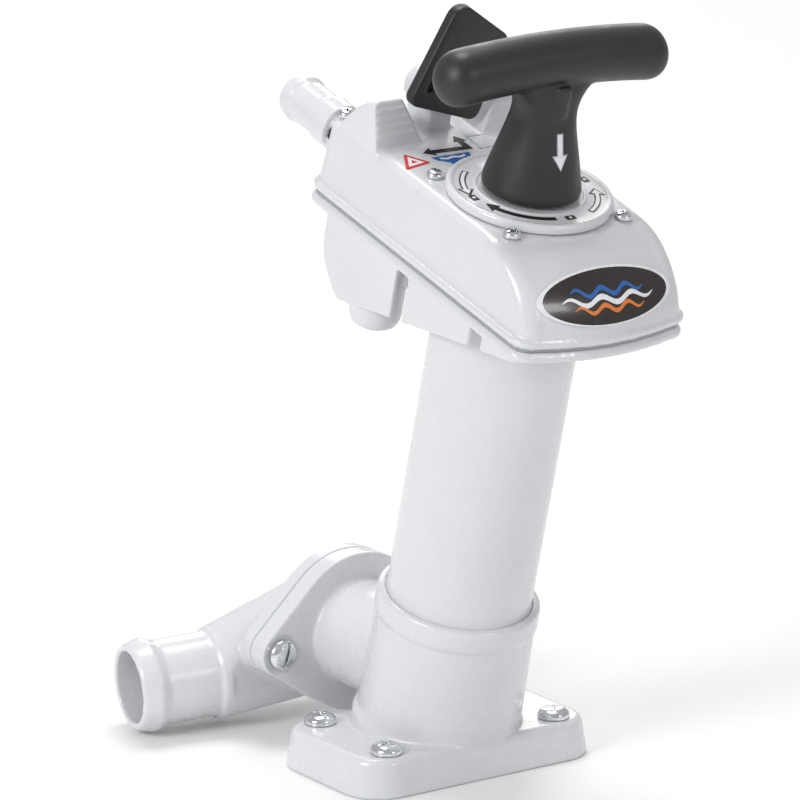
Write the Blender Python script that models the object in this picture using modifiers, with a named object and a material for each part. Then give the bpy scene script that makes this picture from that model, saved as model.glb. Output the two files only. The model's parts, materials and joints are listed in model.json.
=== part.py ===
"""Hand-worked marine toilet pump with a twist-lock tee handle, a flush lever and two hose barbs.

Sizes are in millimetres and become metres when a mesh is made. The base plate lies on the world's XY plane,
with +X to the right, the badge facing -Y and +Z up. The barrel leans forward: an empty at the foot of its
axis holds everything that leans, so a leaning piece is drawn with Z along the barrel and Y to its rear.
"""

import math
from collections import namedtuple

import bmesh
import bpy
from mathutils import Vector

MM = 0.001
GAP = 0.3
SCREW_GAP = 0.3

# Driving dimensions
LEAN = math.radians(15)
PLATE_HALF_X = 58.0
PLATE_HALF_Y = 35.0
PLATE_HEIGHT = 16.0
PLATE_DRAFT = 2.0
PLATE_CORNER = 17.0
BARREL_RADIUS = 29.35
BARREL_BORE = 25.6
BARREL_FOOT = 46.0
HEAD_HALF_WIDTH = 38.5
HEAD_REAR = 90.0
HEAD_TOP = 237.0

# Foot of the pump
SOCKET_RADIUS_LOW = 33.3
SOCKET_RADIUS_TOP = 32.3
SOCKET_TOP = 60.0
SOCKET_LIP_DEPTH = 10.0
SEAL_WIDTH = 2.6
SEAL_DEPTH = 2.0
CHAMBER_FLOOR = 7.0
INLET_RADIUS = 16.0
SPIDER_HUB = 6.5
SPIDER_ARM = 3.0
SPIDER_HEIGHT = 4.0
GROOVE_INNER = 20.0
GROOVE_OUTER = 27.0
GROOVE_DEPTH = 3.0
BASE_SCREW_X = PLATE_HALF_X - 16.9
BASE_SCREW_Y = PLATE_HALF_Y - 11.3
BASE_SCREW_RADIUS = 2.2
BASE_HEAD_RADIUS = 6.6
BASE_HEAD_HEIGHT = 4.0

# Discharge side
NECK_HEIGHT = 39.5
NECK_RADIUS = 22.5
NECK_BORE = 17.0
FLANGE_FRONT = 55.0
FLANGE_MIDDLE = 65.0
FLANGE_REAR = 72.0
FLANGE_RADIUS = 33.5
LOBE_RADIUS = 9.5
LOBE_REACH = 38.5
LOBE_TILT = math.radians(5)
FLANGE_SCREW_RADIUS = 2.5
FLANGE_HEAD_RADIUS = 6.5
ELBOW_RADIUS = 28.0
KNEE = Vector((-2.0, 83.0, 36.0))
KNEE_RADIUS = 22.0
BARB_ROOT = Vector((-50.0, 89.5, 22.0))
BARB_LENGTH = 37.0
BARB_AZIMUTH = math.radians(169)
BARB_DROP = math.radians(3)
BARB_RADIUS = 17.8
BARB_RIDGE = 19.6
BARB_BORE = 15.0

# Head of the pump
RIM_HALF_WIDTH = HEAD_HALF_WIDTH + 2.0
RIM_FRONT = -59.0
RIM_BOW = 7.0
RIM_LOW = HEAD_TOP - 37.0
RIM_TOP = RIM_LOW + 4.2
GASKET_LOW = RIM_TOP + GAP
GASKET_TOP = GASKET_LOW + 1.2
COVER_LOW = GASKET_TOP + GAP
LIP_TOP = COVER_LOW + 3.3
SKIRT_HALF_WIDTH = HEAD_HALF_WIDTH - 2.0
SKIRT_WALL = 2.5
DECK_LOW = RIM_LOW - 1.5
INTAKE_X = -25.0
INTAKE_Y = 52.0
INTAKE_RADIUS = 10.75
INTAKE_BORE = 7.0
INTAKE_FOOT = RIM_LOW - 40.0
COVER_SCREW = 26.5
REAR_SCREW_X = 30.5
REAR_SCREW_Y = 83.4
COVER_SCREW_RADIUS = 2.0
COVER_HEAD_RADIUS = 3.5
POST_RADIUS = 4.5
FRONT_CENTRE_Y = -18.0
FRONT_DEPTH = 42.0
FRONT_CENTRE_Z = HEAD_TOP - 38.0
FRONT_POWER = 2.2
FRONT_BOW = 6.0
POD_TOP = HEAD_TOP + 18.0
LEVER_AXIS_HEIGHT = HEAD_TOP + 13.0
LEVER_FRONT = 56.0
LEVER_THICKNESS = 5.0
BOSS_FRONT = LEVER_FRONT + LEVER_THICKNESS + 0.6
BOSS_RADIUS = 8.0
SHAFT_RADIUS = 3.5
SHAFT_END = 76.5
BOWL_X = -28.0
BOWL_HEIGHT = HEAD_TOP - 8.5
BOWL_END = 121.0
BOWL_RADIUS = 10.0
BOWL_BORE = 6.5

# Moving rod and handle
DIAL_RADIUS = 33.0
DIAL_LOW = HEAD_TOP + GAP
DIAL_TOP = HEAD_TOP + 4.0
HOUSING_RADIUS = 17.0
HOUSING_FOOT = HEAD_TOP - 19.0
ROD_RADIUS = 6.0
ROD_END_RADIUS = 4.0
PISTON_LOW = 60.0
PISTON_HEIGHT = 16.0
PISTON_RADIUS = BARREL_BORE - 0.4
STEM_LOW = DIAL_TOP + 0.5
ROD_TOP = STEM_LOW + 28.5
BAR_HEIGHT = HEAD_TOP + 55.8
BAR_ARCH = 3.6
BAR_RADIUS = 11.5
BAR_HALF = 53.0

# Finishes
Finish = namedtuple("Finish", "name colour roughness metallic")
MOULDED = Finish("moulded_plastic", (0.80, 0.82, 0.86), 0.28, 0.0)
CHARCOAL = Finish("charcoal_plastic", (0.045, 0.046, 0.05), 0.42, 0.0)
CHROME = Finish("chrome_screws", (0.72, 0.72, 0.74), 0.2, 1.0)
STEEL = Finish("steel_rod", (0.62, 0.63, 0.65), 0.3, 1.0)
RUBBER = Finish("black_rubber", (0.02, 0.02, 0.022), 0.7, 0.0)
BRASS = Finish("flap_weights", (0.6, 0.45, 0.2), 0.4, 1.0)
LACQUER = Finish("badge_plate", (0.03, 0.022, 0.018), 0.35, 0.0)


def clear_scene():
    for obj in list(bpy.data.objects):
        bpy.data.objects.remove(obj, do_unlink=True)


def new_collection(name, hidden=False):
    collection = bpy.data.collections.new(name)
    collection.hide_render = hidden
    bpy.context.scene.collection.children.link(collection)
    return collection


clear_scene()
PUMP = new_collection("toilet_pump")
CUTTERS = new_collection("cutters", hidden=True)

PUMP_AXIS = bpy.data.objects.new("pump_axis", None)
PUMP_AXIS.location = (0, 0, PLATE_HEIGHT * MM)
PUMP_AXIS.rotation_euler.x = LEAN
PUMP.objects.link(PUMP_AXIS)


def frame_empty(name, place, parent=None):
    """An empty that holds a pivot, in millimetres of its parent's frame."""
    empty = bpy.data.objects.new(name, None)
    empty.location = Vector(place) * MM
    empty.parent = parent
    PUMP.objects.link(empty)
    return empty


def link_mesh(name, work, parent=None):
    """An object from a bmesh in metres, its faces turned outward and its soft edges smooth."""
    bmesh.ops.recalc_face_normals(work, faces=work.faces)
    mesh = bpy.data.meshes.new(name)
    work.to_mesh(mesh)
    work.free()
    if mesh.polygons:
        mesh.shade_smooth()
        mesh.set_sharp_from_angle(angle=math.radians(35))
    obj = bpy.data.objects.new(name, mesh)
    obj.parent = parent
    PUMP.objects.link(obj)
    return obj


def loft(name, rings, parent=None):
    """Skin over unlike rings of points, with a flat cap at each end."""
    work = bmesh.new()
    rows = [[work.verts.new(Vector(point) * MM) for point in ring] for ring in rings]
    count = len(rings[0])
    for low, high in zip(rows, rows[1:]):
        for column in range(count):
            after = (column + 1) % count
            work.faces.new((low[column], low[after], high[after], high[column]))
    work.faces.new(rows[0])
    work.faces.new(rows[-1])
    return link_mesh(name, work, parent)


def circle(radius, sides):
    """Points of a circle."""
    steps = [2 * math.pi * index / sides for index in range(sides)]
    return [(radius * math.cos(angle), radius * math.sin(angle)) for angle in steps]


AXIS_TURN = {"x": (0, math.pi / 2, 0), "y": (-math.pi / 2, 0, 0), "z": (0, 0, 0)}


def screwed(name, profile, sides, hollow, parent=None):
    """A profile of (radius, height) pairs spun about the object's own Z axis."""
    points = list(profile)
    if not hollow:
        points = [(0, profile[0][1])] + points + [(0, profile[-1][1])]
    area = sum(a[0] * b[1] - b[0] * a[1] for a, b in zip(points, points[1:] + points[:1]))
    if area > 0:
        points.reverse()
    work = bmesh.new()
    corners = [work.verts.new((radius * MM, 0, height * MM)) for radius, height in points]
    for low, high in zip(corners, corners[1:]):
        work.edges.new((low, high))
    if hollow:
        work.edges.new((corners[-1], corners[0]))
    obj = link_mesh(name, work, parent)
    spin = obj.modifiers.new("spin", "SCREW")
    spin.steps = sides
    spin.render_steps = sides
    spin.use_merge_vertices = True
    spin.merge_threshold = 0.00001
    spin.use_smooth_shade = True
    return obj


def turned(name, profile, sides=32, centre=(0, 0), parent=None, hollow=False, along="z"):
    """A round piece from (radius, height) pairs along the chosen axis, through a centre across it."""
    obj = screwed(name, profile, sides, hollow, parent)
    obj.rotation_euler = AXIS_TURN[along]
    places = {"x": (0, *centre), "y": (centre[0], 0, centre[1]), "z": (*centre, 0)}
    obj.location = Vector(places[along]) * MM
    return obj


def ring_piece(name, inner, outer, low, high, **options):
    """A plain ring of rectangular section."""
    profile = [(inner, low), (outer, low), (outer, high), (inner, high)]
    return turned(name, profile, hollow=True, **options)


def prism(name, outline, low, high, along="z", parent=None):
    """An outline carried along one axis. Its two coordinates are the other axes, in X, Y, Z order."""
    places = {
        "x": lambda point, height: (height, *point),
        "y": lambda point, height: (point[0], height, point[1]),
        "z": lambda point, height: (*point, height),
    }
    place = places[along]
    work = bmesh.new()
    face = work.faces.new([work.verts.new(Vector(place(point, low)) * MM) for point in outline])
    shift = (Vector(place((0, 0), high)) - Vector(place((0, 0), low))) * MM
    grown = bmesh.ops.extrude_face_region(work, geom=[face])["geom"]
    corners = [item for item in grown if isinstance(item, bmesh.types.BMVert)]
    bmesh.ops.translate(work, verts=corners, vec=shift)
    return link_mesh(name, work, parent)


def box(name, low, high, parent=None):
    work = bmesh.new()
    bmesh.ops.create_cube(work, size=1.0)
    size = Vector(high) - Vector(low)
    bmesh.ops.scale(work, verts=work.verts, vec=size * MM)
    bmesh.ops.translate(work, verts=work.verts, vec=(Vector(high) + Vector(low)) / 2 * MM)
    return link_mesh(name, work, parent)


def hull(name, points):
    """The tight skin round a set of points."""
    work = bmesh.new()
    for point in points:
        work.verts.new(Vector(point) * MM)
    bmesh.ops.convex_hull(work, input=work.verts)
    inside = [vert for vert in work.verts if not vert.link_faces]
    bmesh.ops.delete(work, geom=inside, context="VERTS")
    bmesh.ops.dissolve_limit(work, angle_limit=0.001, verts=work.verts, edges=work.edges)
    return link_mesh(name, work)


def combine(target, tool, operation):
    """Adds a tool to a target's one Boolean of this kind. Joins always come before cuts."""
    label = f"{target.name}_{operation.lower()}"
    modifier = target.modifiers.get(label)
    if modifier is None:
        modifier = target.modifiers.new(label, "BOOLEAN")
        modifier.solver = "EXACT"
        modifier.operation = operation
        modifier.operand_type = "COLLECTION"
        modifier.collection = bpy.data.collections.new(label)
        modifier.collection.hide_render = True
        CUTTERS.children.link(modifier.collection)
        if operation == "UNION":
            spins = sum(other.type == "SCREW" for other in target.modifiers)
            target.modifiers.move(len(target.modifiers) - 1, spins)
    for collection in list(tool.users_collection):
        collection.objects.unlink(tool)
    modifier.collection.objects.link(tool)
    tool.hide_render = True
    tool.display_type = "WIRE"
    return target


def join(target, tool):
    return combine(target, tool, "UNION")


def cut(target, tool):
    return combine(target, tool, "DIFFERENCE")


def keep_common(target, tool):
    return combine(target, tool, "INTERSECT")


def finish(obj, look):
    """Gives a node a material of its own."""
    material = bpy.data.materials.new(f"{obj.name}_{look.name}")
    material.use_nodes = True
    shader = material.node_tree.nodes["Principled BSDF"]
    shader.inputs["Base Color"].default_value = (*look.colour, 1.0)
    shader.inputs["Roughness"].default_value = look.roughness
    shader.inputs["Metallic"].default_value = look.metallic
    obj.data.materials.clear()
    obj.data.materials.append(material)
    return obj


def rounded_rectangle(half_x, half_y, corner, steps=6):
    points = []
    for quarter, (side_x, side_y) in enumerate([(1, 1), (-1, 1), (-1, -1), (1, -1)]):
        for step in range(steps + 1):
            angle = math.pi / 2 * (quarter + step / steps)
            across = side_x * (half_x - corner) + corner * math.cos(angle)
            along = side_y * (half_y - corner) + corner * math.sin(angle)
            points.append((across, along))
    return points


def rounded_polygon(corners, steps=5):
    """A polygon whose corners are (x, y, radius), each turned into an arc."""
    points = []
    for index, (x, y, radius) in enumerate(corners):
        here = Vector((x, y))
        before = (Vector(corners[index - 1][:2]) - here).normalized()
        after = (Vector(corners[(index + 1) % len(corners)][:2]) - here).normalized()
        half = before.angle(after) / 2
        centre = here + (before + after).normalized() * radius / math.sin(half)
        first = here + before * radius / math.tan(half) - centre
        last = here + after * radius / math.tan(half) - centre
        swing = first.angle_signed(last)
        for step in range(steps + 1):
            angle = -swing * step / steps
            turn = (math.cos(angle), math.sin(angle))
            points.append(
                (
                    centre.x + first.x * turn[0] - first.y * turn[1],
                    centre.y + first.x * turn[1] + first.y * turn[0],
                )
            )
    return points


def head_outline(half_width, front, rear, bow, corner, steps=4):
    """The head seen from above: straight sides, round corners and a front that bows forward."""
    reach = half_width - corner
    edge = []
    for index in range(9):
        across = reach * (index / 4 - 1)
        edge.append((across, front - bow * (1 - (across / half_width) ** 2)))
    front_corner = edge[-1][1] + corner
    points = list(edge)
    quarters = [(1, front_corner, -0.5, 1), (1, rear - corner, 0, 0), (-1, rear - corner, 0.5, 0)]
    for side, height, start, first in quarters:
        for step in range(first, steps + 1):
            angle = math.pi * (start + step / steps / 2)
            points.append((side * reach + corner * math.cos(angle), height + corner * math.sin(angle)))
    for step in range(steps):
        angle = math.pi * (1 + step / steps / 2)
        points.append((-reach + corner * math.cos(angle), front_corner + corner * math.sin(angle)))
    return points


def front_edge(height):
    """How far forward the cover's front reaches at a height, at its sides."""
    part = min(1.0, max(0.0, (height - FRONT_CENTRE_Z) / (HEAD_TOP - FRONT_CENTRE_Z)))
    return FRONT_CENTRE_Y - FRONT_DEPTH * (1 - part**FRONT_POWER) ** (1 / FRONT_POWER)


def front_surface(across, height):
    """A point on the cover's front."""
    bow = FRONT_BOW * (1 - (across / HEAD_HALF_WIDTH) ** 2)
    return Vector((across, front_edge(height) - bow, height))


def lean_down(radius, angle, level):
    """The point of a leaning cylinder, in its own frame, that lies at a world height."""
    across = radius * math.cos(angle)
    along = radius * math.sin(angle)
    drop = (level - PLATE_HEIGHT - along * math.sin(LEAN)) / math.cos(LEAN)
    return (across, along, drop)


def leaning_cylinder(name, level, stations, sides=40):
    """A round piece on the pump's axis whose lower end is level with the world."""
    angles = [2 * math.pi * index / sides for index in range(sides)]
    rings = [[lean_down(stations[0][0], angle, level) for angle in angles]]
    for radius, height in stations:
        rings.append([(*point, height) for point in circle(radius, sides)])
    return loft(name, rings, PUMP_AXIS)


def flange_outline(grow=0.0, steps=40):
    """The rhombic flange: a round middle and two lobes on a slightly turned line."""
    points = []
    circles = [(0.0, 0.0, FLANGE_RADIUS + grow)]
    for side in (1, -1):
        reach = side * LOBE_REACH
        circles.append((reach * math.cos(LOBE_TILT), reach * math.sin(LOBE_TILT), LOBE_RADIUS + grow))
    for index in range(steps):
        angle = 2 * math.pi * (index + 0.5) / steps
        toward = (math.cos(angle), math.sin(angle))
        chosen = max(circles, key=lambda item: item[0] * toward[0] + item[1] * toward[1] + item[2])
        points.append((chosen[0] + chosen[2] * toward[0], NECK_HEIGHT + chosen[1] + chosen[2] * toward[1]))
    return points


def flange_screw_places():
    reach_x = LOBE_REACH * math.cos(LOBE_TILT)
    reach_z = LOBE_REACH * math.sin(LOBE_TILT)
    return [(reach_x, NECK_HEIGHT + reach_z), (-reach_x, NECK_HEIGHT - reach_z)]


def cover_screw_places():
    """(x, y, lower end of the shank) of each cover screw."""
    end = RIM_LOW - 5.5
    front = [(side_x * COVER_SCREW, side_y * COVER_SCREW, end) for side_x in (-1, 1) for side_y in (-1, 1)]
    rear = [(side_x * REAR_SCREW_X, REAR_SCREW_Y, RIM_LOW + 1.6) for side_x in (-1, 1)]
    return front + rear


def base_screw_places():
    return [(side_x * BASE_SCREW_X, side_y * BASE_SCREW_Y) for side_x in (-1, 1) for side_y in (-1, 1)]


def build_base():
    """Plate, leaning socket, discharge neck and its flange in one moulding."""
    stations = [
        (0.0, 0.0),
        (PLATE_DRAFT * 0.85, PLATE_HEIGHT - 2.6),
        (PLATE_DRAFT + 0.9, PLATE_HEIGHT - 0.7),
        (PLATE_DRAFT + 2.6, PLATE_HEIGHT),
    ]
    rings = []
    for inset, height in stations:
        ring = rounded_rectangle(PLATE_HALF_X - inset, PLATE_HALF_Y - inset, PLATE_CORNER - inset)
        rings.append([(*point, height) for point in ring])
    base = loft("base", rings)
    lip_low = SOCKET_TOP - SOCKET_LIP_DEPTH
    socket = [
        (SOCKET_RADIUS_LOW, 12.0),
        (SOCKET_RADIUS_TOP + 0.2, lip_low),
        (SOCKET_RADIUS_TOP + 1.0, lip_low + 0.8),
        (SOCKET_RADIUS_TOP + 0.9, SOCKET_TOP - 1.0),
        (SOCKET_RADIUS_TOP, SOCKET_TOP),
    ]
    join(base, leaning_cylinder("socket", SPIDER_HEIGHT + 2, socket))
    neck = [(NECK_RADIUS, 14.0), (NECK_RADIUS, FLANGE_FRONT + 2)]
    join(base, turned("neck", neck, 32, (0, NECK_HEIGHT), along="y"))
    join(base, prism("flange", flange_outline(), FLANGE_FRONT, FLANGE_MIDDLE, "y"))
    chamber = [(BARREL_BORE, 16.0), (BARREL_BORE, BARREL_FOOT + 3)]
    cut(base, leaning_cylinder("chamber", CHAMBER_FLOOR, chamber))
    seat = [(BARREL_RADIUS + GAP, BARREL_FOOT), (BARREL_RADIUS + GAP, SOCKET_TOP + 2)]
    cut(base, turned("barrel_seat", seat, 40, parent=PUMP_AXIS))
    pocket_radius = BARREL_BORE + SEAL_WIDTH + GAP
    pocket = [(pocket_radius, BARREL_FOOT - SEAL_DEPTH), (pocket_radius, BARREL_FOOT + 1)]
    cut(base, turned("seal_pocket", pocket, 40, parent=PUMP_AXIS))
    bore = [(NECK_BORE, 6.0), (NECK_BORE, FLANGE_MIDDLE + 2)]
    cut(base, turned("neck_bore", bore, 32, (0, NECK_HEIGHT), along="y"))
    inlet = turned("inlet", [(INLET_RADIUS, -1), (INLET_RADIUS, CHAMBER_FLOOR + 4)], 32)
    cut(inlet, turned("spider_hub", [(SPIDER_HUB, -2), (SPIDER_HUB, SPIDER_HEIGHT)], 16))
    for index, half_x in enumerate((INLET_RADIUS + 2, SPIDER_ARM / 2)):
        half_y = INLET_RADIUS + 2 + SPIDER_ARM / 2 - half_x
        cut(inlet, box(f"spider_arm_{index}", (-half_x, -half_y, -2), (half_x, half_y, SPIDER_HEIGHT)))
    cut(base, inlet)
    cut(base, ring_piece("seal_groove", GROOVE_INNER, GROOVE_OUTER, -1, GROOVE_DEPTH, sides=32))
    hole = BASE_SCREW_RADIUS + SCREW_GAP
    for index, place in enumerate(base_screw_places()):
        cut(base, turned(f"base_hole_{index}", [(hole, -1), (hole, PLATE_HEIGHT + 2)], 12, place))
    hole = FLANGE_SCREW_RADIUS + SCREW_GAP
    for index, place in enumerate(flange_screw_places()):
        shape = [(hole, FLANGE_FRONT - 2), (hole, FLANGE_MIDDLE + 2)]
        cut(base, turned(f"flange_hole_{index}", shape, 12, place, along="y"))
        recess = [(LOBE_RADIUS - 1.2, FLANGE_FRONT - 2), (LOBE_RADIUS - 1.2, FLANGE_FRONT + 0.8)]
        cut(base, turned(f"head_recess_{index}", recess, 16, place, along="y"))
    return finish(base, MOULDED)


def barb_direction():
    level = math.cos(BARB_DROP)
    return Vector((level * math.cos(BARB_AZIMUTH), level * math.sin(BARB_AZIMUTH), -math.sin(BARB_DROP)))


def neck_ring(radius, along):
    """A circle round the neck's axis, at a depth."""
    return [Vector((across, along, NECK_HEIGHT + rise)) for across, rise in circle(radius, 28)]


def barb_ring(radius):
    """A circle at the root of the barb, square to it."""
    toward = barb_direction()
    side = toward.cross(Vector((0, 0, 1))).normalized()
    up = side.cross(toward)
    return [BARB_ROOT + side * across + up * rise for across, rise in circle(radius, 28)]


def knee_ball(radius):
    """Points of a ball at the elbow's knee."""
    points = []
    for belt in range(1, 6):
        tilt = math.pi * (belt / 6 - 0.5)
        for across, rise in circle(radius * math.cos(tilt), 16):
            points.append(KNEE + Vector((across, rise, radius * math.sin(tilt))))
    return points


def barb_piece(name, profile, sides=28):
    """A round piece along the discharge barb, its profile (radius, distance from the barb's root)."""
    piece = screwed(name, profile, sides, hollow=False)
    piece.location = BARB_ROOT * MM
    piece.rotation_euler = barb_direction().to_track_quat("Z", "Y").to_euler()
    return piece


def build_elbow():
    elbow = prism("discharge_elbow", flange_outline(), FLANGE_MIDDLE + GAP, FLANGE_REAR, "y")
    start = FLANGE_REAR - 1
    points = neck_ring(ELBOW_RADIUS, start) + knee_ball(KNEE_RADIUS) + barb_ring(BARB_RADIUS + 1.7)
    join(elbow, hull("elbow_body", [point for point in points if point.y >= start]))
    profile = [
        (BARB_RADIUS + 1.2, -2.0),
        (BARB_RADIUS + 1.2, 2.0),
        (BARB_RADIUS, 2.6),
        (BARB_RADIUS, BARB_LENGTH - 11),
        (BARB_RIDGE, BARB_LENGTH - 8),
        (BARB_RIDGE, BARB_LENGTH - 7),
        (BARB_RADIUS + 0.2, BARB_LENGTH - 1),
        (BARB_RADIUS - 0.8, BARB_LENGTH),
    ]
    join(elbow, barb_piece("barb", profile))
    ball = knee_ball(NECK_BORE)
    cut(elbow, hull("bore_to_knee", neck_ring(NECK_BORE + 1, FLANGE_MIDDLE - 2) + ball))
    cut(elbow, hull("bore_from_knee", ball + barb_ring(BARB_BORE - 0.6)))
    cut(elbow, barb_piece("barb_bore", [(BARB_BORE, -4), (BARB_BORE, BARB_LENGTH + 3)]))
    pocket = [(NECK_BORE + 5, FLANGE_MIDDLE - 4), (NECK_BORE + 5, FLANGE_MIDDLE + 3)]
    cut(elbow, turned("joker_pocket", pocket, 32, (0, NECK_HEIGHT), along="y"))
    hole = FLANGE_SCREW_RADIUS + SCREW_GAP
    for index, place in enumerate(flange_screw_places()):
        shape = [(hole, FLANGE_MIDDLE - 2), (hole, FLANGE_REAR - 0.5)]
        cut(elbow, turned(f"elbow_hole_{index}", shape, 12, place, along="y"))
    return finish(elbow, MOULDED)


def build_joker_valve():
    """The rubber duckbill between the two discharge flanges."""
    face = FLANGE_MIDDLE + GAP
    wide = NECK_BORE - 3
    profile = [
        (wide - 1.5, face),
        (NECK_BORE + 4.6, face),
        (NECK_BORE + 4.6, face + 2.3),
        (wide, face + 2.3),
        (wide, face + 5),
        (7.5, face + 12),
        (6, face + 12),
        (wide - 1.5, face + 5),
    ]
    valve = turned("joker_valve", profile, 24, (0, NECK_HEIGHT), hollow=True, along="y")
    return finish(valve, RUBBER)


# Side view (y, z) of the open housing under the head, and of the space inside it
SKIRT_SIDE = [
    (-64.4, RIM_LOW - 0.2),
    (63.2, RIM_LOW - 33.7),
    (73.0, RIM_LOW - 25.3),
    (79.3, RIM_LOW - 15.2),
    (81.9, RIM_LOW - 5.6),
    (82.5, RIM_LOW + 2),
    (-64.4, RIM_LOW + 2),
]
SKIRT_INSIDE = [
    (-58.0, RIM_LOW - 80.0),
    (60.2, RIM_LOW - 80.0),
    (60.2, RIM_LOW - 32.0),
    (70.2, RIM_LOW - 24.0),
    (76.6, RIM_LOW - 14.0),
    (79.2, RIM_LOW - 5.0),
    (79.4, DECK_LOW),
    (-58.0, DECK_LOW),
]
SKIRT_NOTCHES = [(20.0, 28.0, RIM_LOW - 3.0), (-31.0, -23.0, RIM_LOW - 2.0)]


def build_pump_body():
    """Barrel, open housing and its rim in one moulding."""
    rim = head_outline(RIM_HALF_WIDTH, RIM_FRONT, HEAD_REAR, RIM_BOW, 8.0)
    body = prism("pump_body", rim, RIM_LOW, RIM_TOP, parent=PUMP_AXIS)
    skirt = prism("skirt", SKIRT_SIDE, -SKIRT_HALF_WIDTH, SKIRT_HALF_WIDTH, "x", PUMP_AXIS)
    around = head_outline(SKIRT_HALF_WIDTH + 0.05, RIM_FRONT + 4, 83.0, RIM_BOW, 8.0)
    keep_common(skirt, prism("skirt_plan", around, RIM_LOW - 50, RIM_LOW + 1.5, parent=PUMP_AXIS))
    inner = SKIRT_HALF_WIDTH - SKIRT_WALL
    hollow = prism("skirt_hollow", SKIRT_INSIDE, -inner, inner, "x", PUMP_AXIS)
    cut(skirt, hollow)
    join(body, skirt)
    tube = [(BARREL_RADIUS, BARREL_FOOT + GAP), (BARREL_RADIUS, RIM_LOW + 1)]
    join(body, turned("barrel", tube, 40, parent=PUMP_AXIS))
    port = [
        (INTAKE_BORE + 1.2, INTAKE_FOOT),
        (INTAKE_RADIUS - 1.4, INTAKE_FOOT + 1.6),
        (INTAKE_RADIUS, INTAKE_FOOT + 5.5),
        (INTAKE_RADIUS, RIM_LOW + 1),
    ]
    join(body, turned("intake_port", port, 28, (INTAKE_X, INTAKE_Y), PUMP_AXIS))
    for index, (across, along, end) in enumerate(cover_screw_places()[:4]):
        post = [(POST_RADIUS, end - 2), (POST_RADIUS, RIM_LOW + 1)]
        join(body, turned(f"body_post_{index}", post, 16, (across, along), PUMP_AXIS))
    bore = [(BARREL_BORE, BARREL_FOOT - 1), (BARREL_BORE, RIM_TOP + 2)]
    cut(body, turned("barrel_bore", bore, 40, parent=PUMP_AXIS))
    port_bore = [(INTAKE_BORE, INTAKE_FOOT - 2), (INTAKE_BORE, RIM_TOP + 2)]
    cut(body, turned("intake_bore", port_bore, 24, (INTAKE_X, INTAKE_Y), PUMP_AXIS))
    for index, (across, along, end) in enumerate(cover_screw_places()):
        hole = [(COVER_SCREW_RADIUS + SCREW_GAP, end - GAP), (COVER_SCREW_RADIUS + SCREW_GAP, RIM_TOP + 2)]
        cut(body, turned(f"body_hole_{index}", hole, 12, (across, along), PUMP_AXIS))
    for side in (-1, 1):
        for index, (start, stop, top) in enumerate(SKIRT_NOTCHES):
            near = sorted((side * (inner - 0.5), side * (SKIRT_HALF_WIDTH + 2)))
            corners = (near[0], start, RIM_LOW - 50), (near[1], stop, top)
            cut(body, box(f"notch_{side}_{index}", *corners, PUMP_AXIS))
    return finish(body, MOULDED)


def build_gasket():
    outline = head_outline(RIM_HALF_WIDTH - 1.2, RIM_FRONT + 1.2, HEAD_REAR - 1.2, RIM_BOW, 7.0)
    gasket = prism("top_valve_gasket", outline, GASKET_LOW, GASKET_TOP, parent=PUMP_AXIS)
    span = (GASKET_LOW - 2, GASKET_TOP + 2)
    cut(gasket, turned("gasket_opening", [(BARREL_BORE, z) for z in span], 40, parent=PUMP_AXIS))
    port = [(INTAKE_BORE, z) for z in span]
    cut(gasket, turned("gasket_port", port, 24, (INTAKE_X, INTAKE_Y), PUMP_AXIS))
    for index, (across, along, _) in enumerate(cover_screw_places()):
        hole = [(COVER_SCREW_RADIUS + SCREW_GAP, z) for z in span]
        cut(gasket, turned(f"gasket_hole_{index}", hole, 12, (across, along), PUMP_AXIS))
    return finish(gasket, RUBBER)


def cover_rings():
    """Plan outlines of the cover from its lip to its flat top."""
    rings = []
    edge = 4.0
    for part in (0.26, 0.4, 0.54, 0.67, 0.78, 0.87, 0.93, 0.97, 0.99, 1.0):
        height = FRONT_CENTRE_Z + part * (HEAD_TOP - FRONT_CENTRE_Z)
        taper = 1.5 * (height - LIP_TOP) / (HEAD_TOP - LIP_TOP)
        rise = max(0.0, height - (HEAD_TOP - edge)) / edge
        taper += edge * (1 - math.sqrt(max(0.0, 1 - rise**2)))
        half_width, rear = HEAD_HALF_WIDTH - taper, HEAD_REAR - 0.6 - taper
        outline = head_outline(half_width, front_edge(height), rear, FRONT_BOW, 8.0)
        rings.append([(*point, height) for point in outline])
    return rings


def build_pod(side, index):
    """One of the two wedge-shaped housings beside the lever."""
    foot = HEAD_TOP - 5
    slope = [
        (60.5, POD_TOP - 0.3),
        (65, POD_TOP - 3.3),
        (70, POD_TOP - 7.2),
        (73, POD_TOP - 11.0),
        (76, POD_TOP - 14.4),
        (78, HEAD_TOP),
        (78, foot),
    ]
    profile = [(51.5, foot), (53, HEAD_TOP), (58.6, POD_TOP - 0.6), (59.4, POD_TOP)] + slope
    pod = prism(f"pod_{index}", profile, 5 * side, 40 * side, "x", PUMP_AXIS)
    inner = [(11.5, foot), (14, HEAD_TOP), (23, POD_TOP - 0.4), (24, POD_TOP + 0.1)]
    outer = [(34.5, POD_TOP + 0.1), (36.6, POD_TOP - 1.5), (37.0, HEAD_TOP), (36.8, foot)]
    across = [(side * x, z) for x, z in inner + outer]
    return keep_common(pod, prism(f"pod_width_{index}", across, 45, 82, "y", PUMP_AXIS))


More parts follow.
